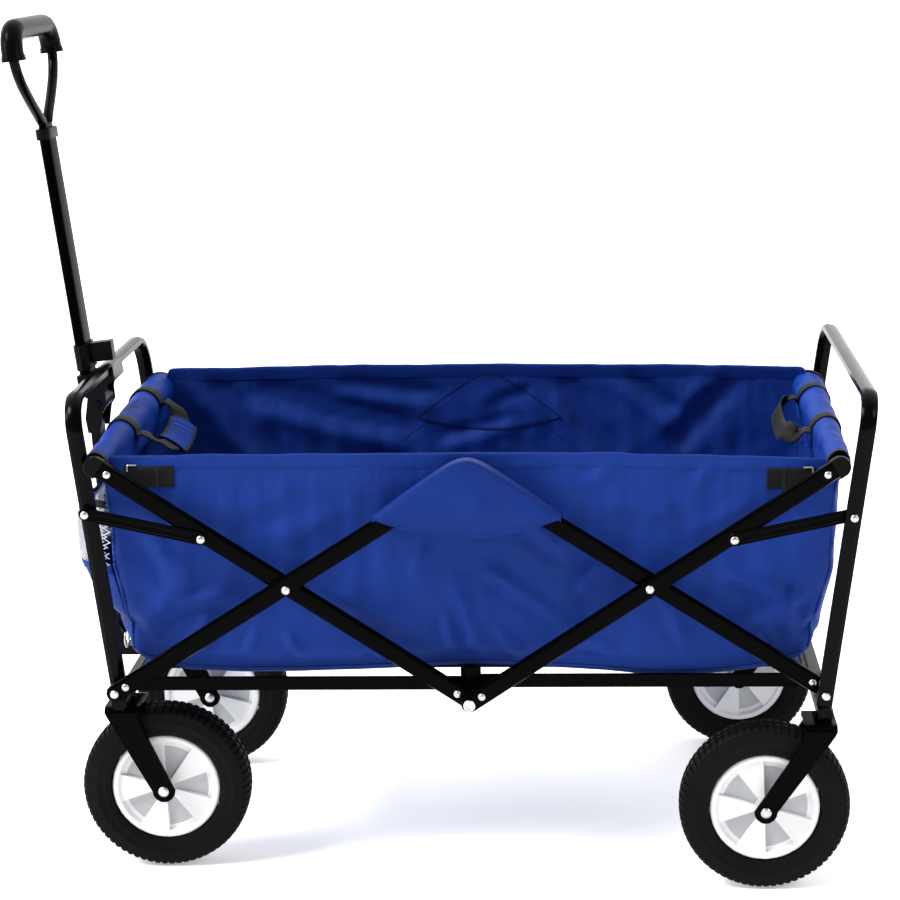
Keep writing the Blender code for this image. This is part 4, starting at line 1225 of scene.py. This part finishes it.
for side, hand in SIDES.items():
    for end, word in ENDS.items():
        long_bar, short_bar = f"long_bar_{word}_{hand}", f"short_bar_{word}_{hand}"
        arms = f"arm_a_{word}", f"arm_b_{word}"
        for label, node_name, body, spot in (
                ("tip", long_bar, arms[0], toward(TIP[end], HUB, 0.0165)),
                ("hub", long_bar, arms[0], toward(HUB, TIP[end], 0.0172)),
                ("foot", short_bar, arms[1], toward(FOOT[end], APEX, 0.0155))):
            place = surface(node_name, (spot[0], side * 0.30, spot[1]), (0, -side, 0))
            if place is not None:
                rivet(f"rivet_{label}_{word}_{hand}", place, side, body)
        stay = f"stay_{word}_{hand}"
        for label, spot, radius in (("knee", KNEE[end], 0.0046), ("post", STAY_POST[end], 0.0044)):
            place = surface(stay, (spot[0], side * 0.30, spot[1]), (0, -side, 0))
            if place is not None:
                rivet(f"rivet_{label}_{word}_{hand}", place + (0, side * 0.0001, 0), side, f"stay_{word}",
                      radius)
        a = toward(STAY_POST[end], KNEE[end], 0.0125)
        b = toward(KNEE[end], STAY_POST[end], 0.0125)
        run = (b - a) / np.linalg.norm(b - a)
        over = np.array((-run[1], run[0]))
        face = surface(stay, ((a[0] + b[0]) / 2, side * 0.30, (a[1] + b[1]) / 2), (0, -side, 0))
        for k, shift in enumerate((-0.0034, 0.0034)):
            line = [(p[0], face[1] - side * 0.0002, p[1]) for p in
                    (a + over * shift + (b - a) * t for t in np.linspace(0, 1, 12))]
            tube(f"stay_ridge_{word}_{hand}_{k}", line, 0.0013, COAT, f"stay_{word}", sides=10)
        # moulded cap over the tip of the long bar
        tip = np.array(TIP[end])
        run = (np.array(HUB) - tip) / np.linalg.norm(np.array(HUB) - tip)
        over = np.array((-run[1], run[0]))
        face = surface(long_bar, (tip[0] + run[0] * 0.024, side * 0.30, tip[1] + run[1] * 0.024),
                       (0, -side, 0))
        outline = []
        for angle in np.linspace(90, 270, 19):
            c, q = math.cos(math.radians(angle)), math.sin(math.radians(angle))
            outline.append(tip + run * 0.0122 * c + over * 0.0122 * q)
        outline += [tip + run * 0.0062 - over * 0.0122, tip + run * 0.0062 + over * 0.0122]
        rings = []
        middle = tip + run * -0.002
        for out, grow in ((-0.0060, 1.0), (-0.0004, 1.0), (0.0012, 0.99), (0.0019, 0.93), (0.0020, 0.6)):
            rings.append([(*(middle + (p - middle) * grow), out) for p in outline])
        verts = [(p[0], face[1] + side * p[2], p[1]) for line in rings for p in line]
        count = len(outline)
        faces = quads(5, count, wrap_cols=True) + [tuple(range(count)),
                                                   tuple(range(4 * count, 5 * count))]
        cap = build(f"tip_cap_{word}_{hand}", verts, faces, PLASTIC, arms[0], smooth=40.0)
        tidy_normals(cap)
    low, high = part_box("bottom_cross_tube")
    place = (0.0, (high.y if side > 0 else low.y) - side * 0.0001, HUB[1])
    turned(f"hub_nut_{hand}", [(0.0070, -0.0006 * side), (0.0070, 0.0006 * side), (0.0064, 0.0011 * side),
                               (0.0044, 0.0012 * side), (0.0040, 0.0002 * side), (0.0020, 0.0001 * side)],
           place, RIVET, "hub", "y", 32, 30.0)

for label, y in (("near", -0.0175), ("far", 0.0175)):
    place = surface("hoop_front", (-0.36, y, 0.5750), (-1, 0, 0))
    if place is not None:
        rivet(f"rivet_bracket_{label}", place, 1, "front_frame", 0.0036, 0.0018, "x")

# ------------------------------------------------------------------ studio floor
ground = bpy.data.meshes.new("ground")
ground.from_pydata([(-60, -30, -0.0004), (60, -30, -0.0004), (60, 90, -0.0004),
                    (-60, 90, -0.0004)], [], [(0, 1, 2, 3)])
ground.materials.append(FLOOR)
ground_piece = bpy.data.objects.new("ground", ground)
SCENE.collection.objects.link(ground_piece)
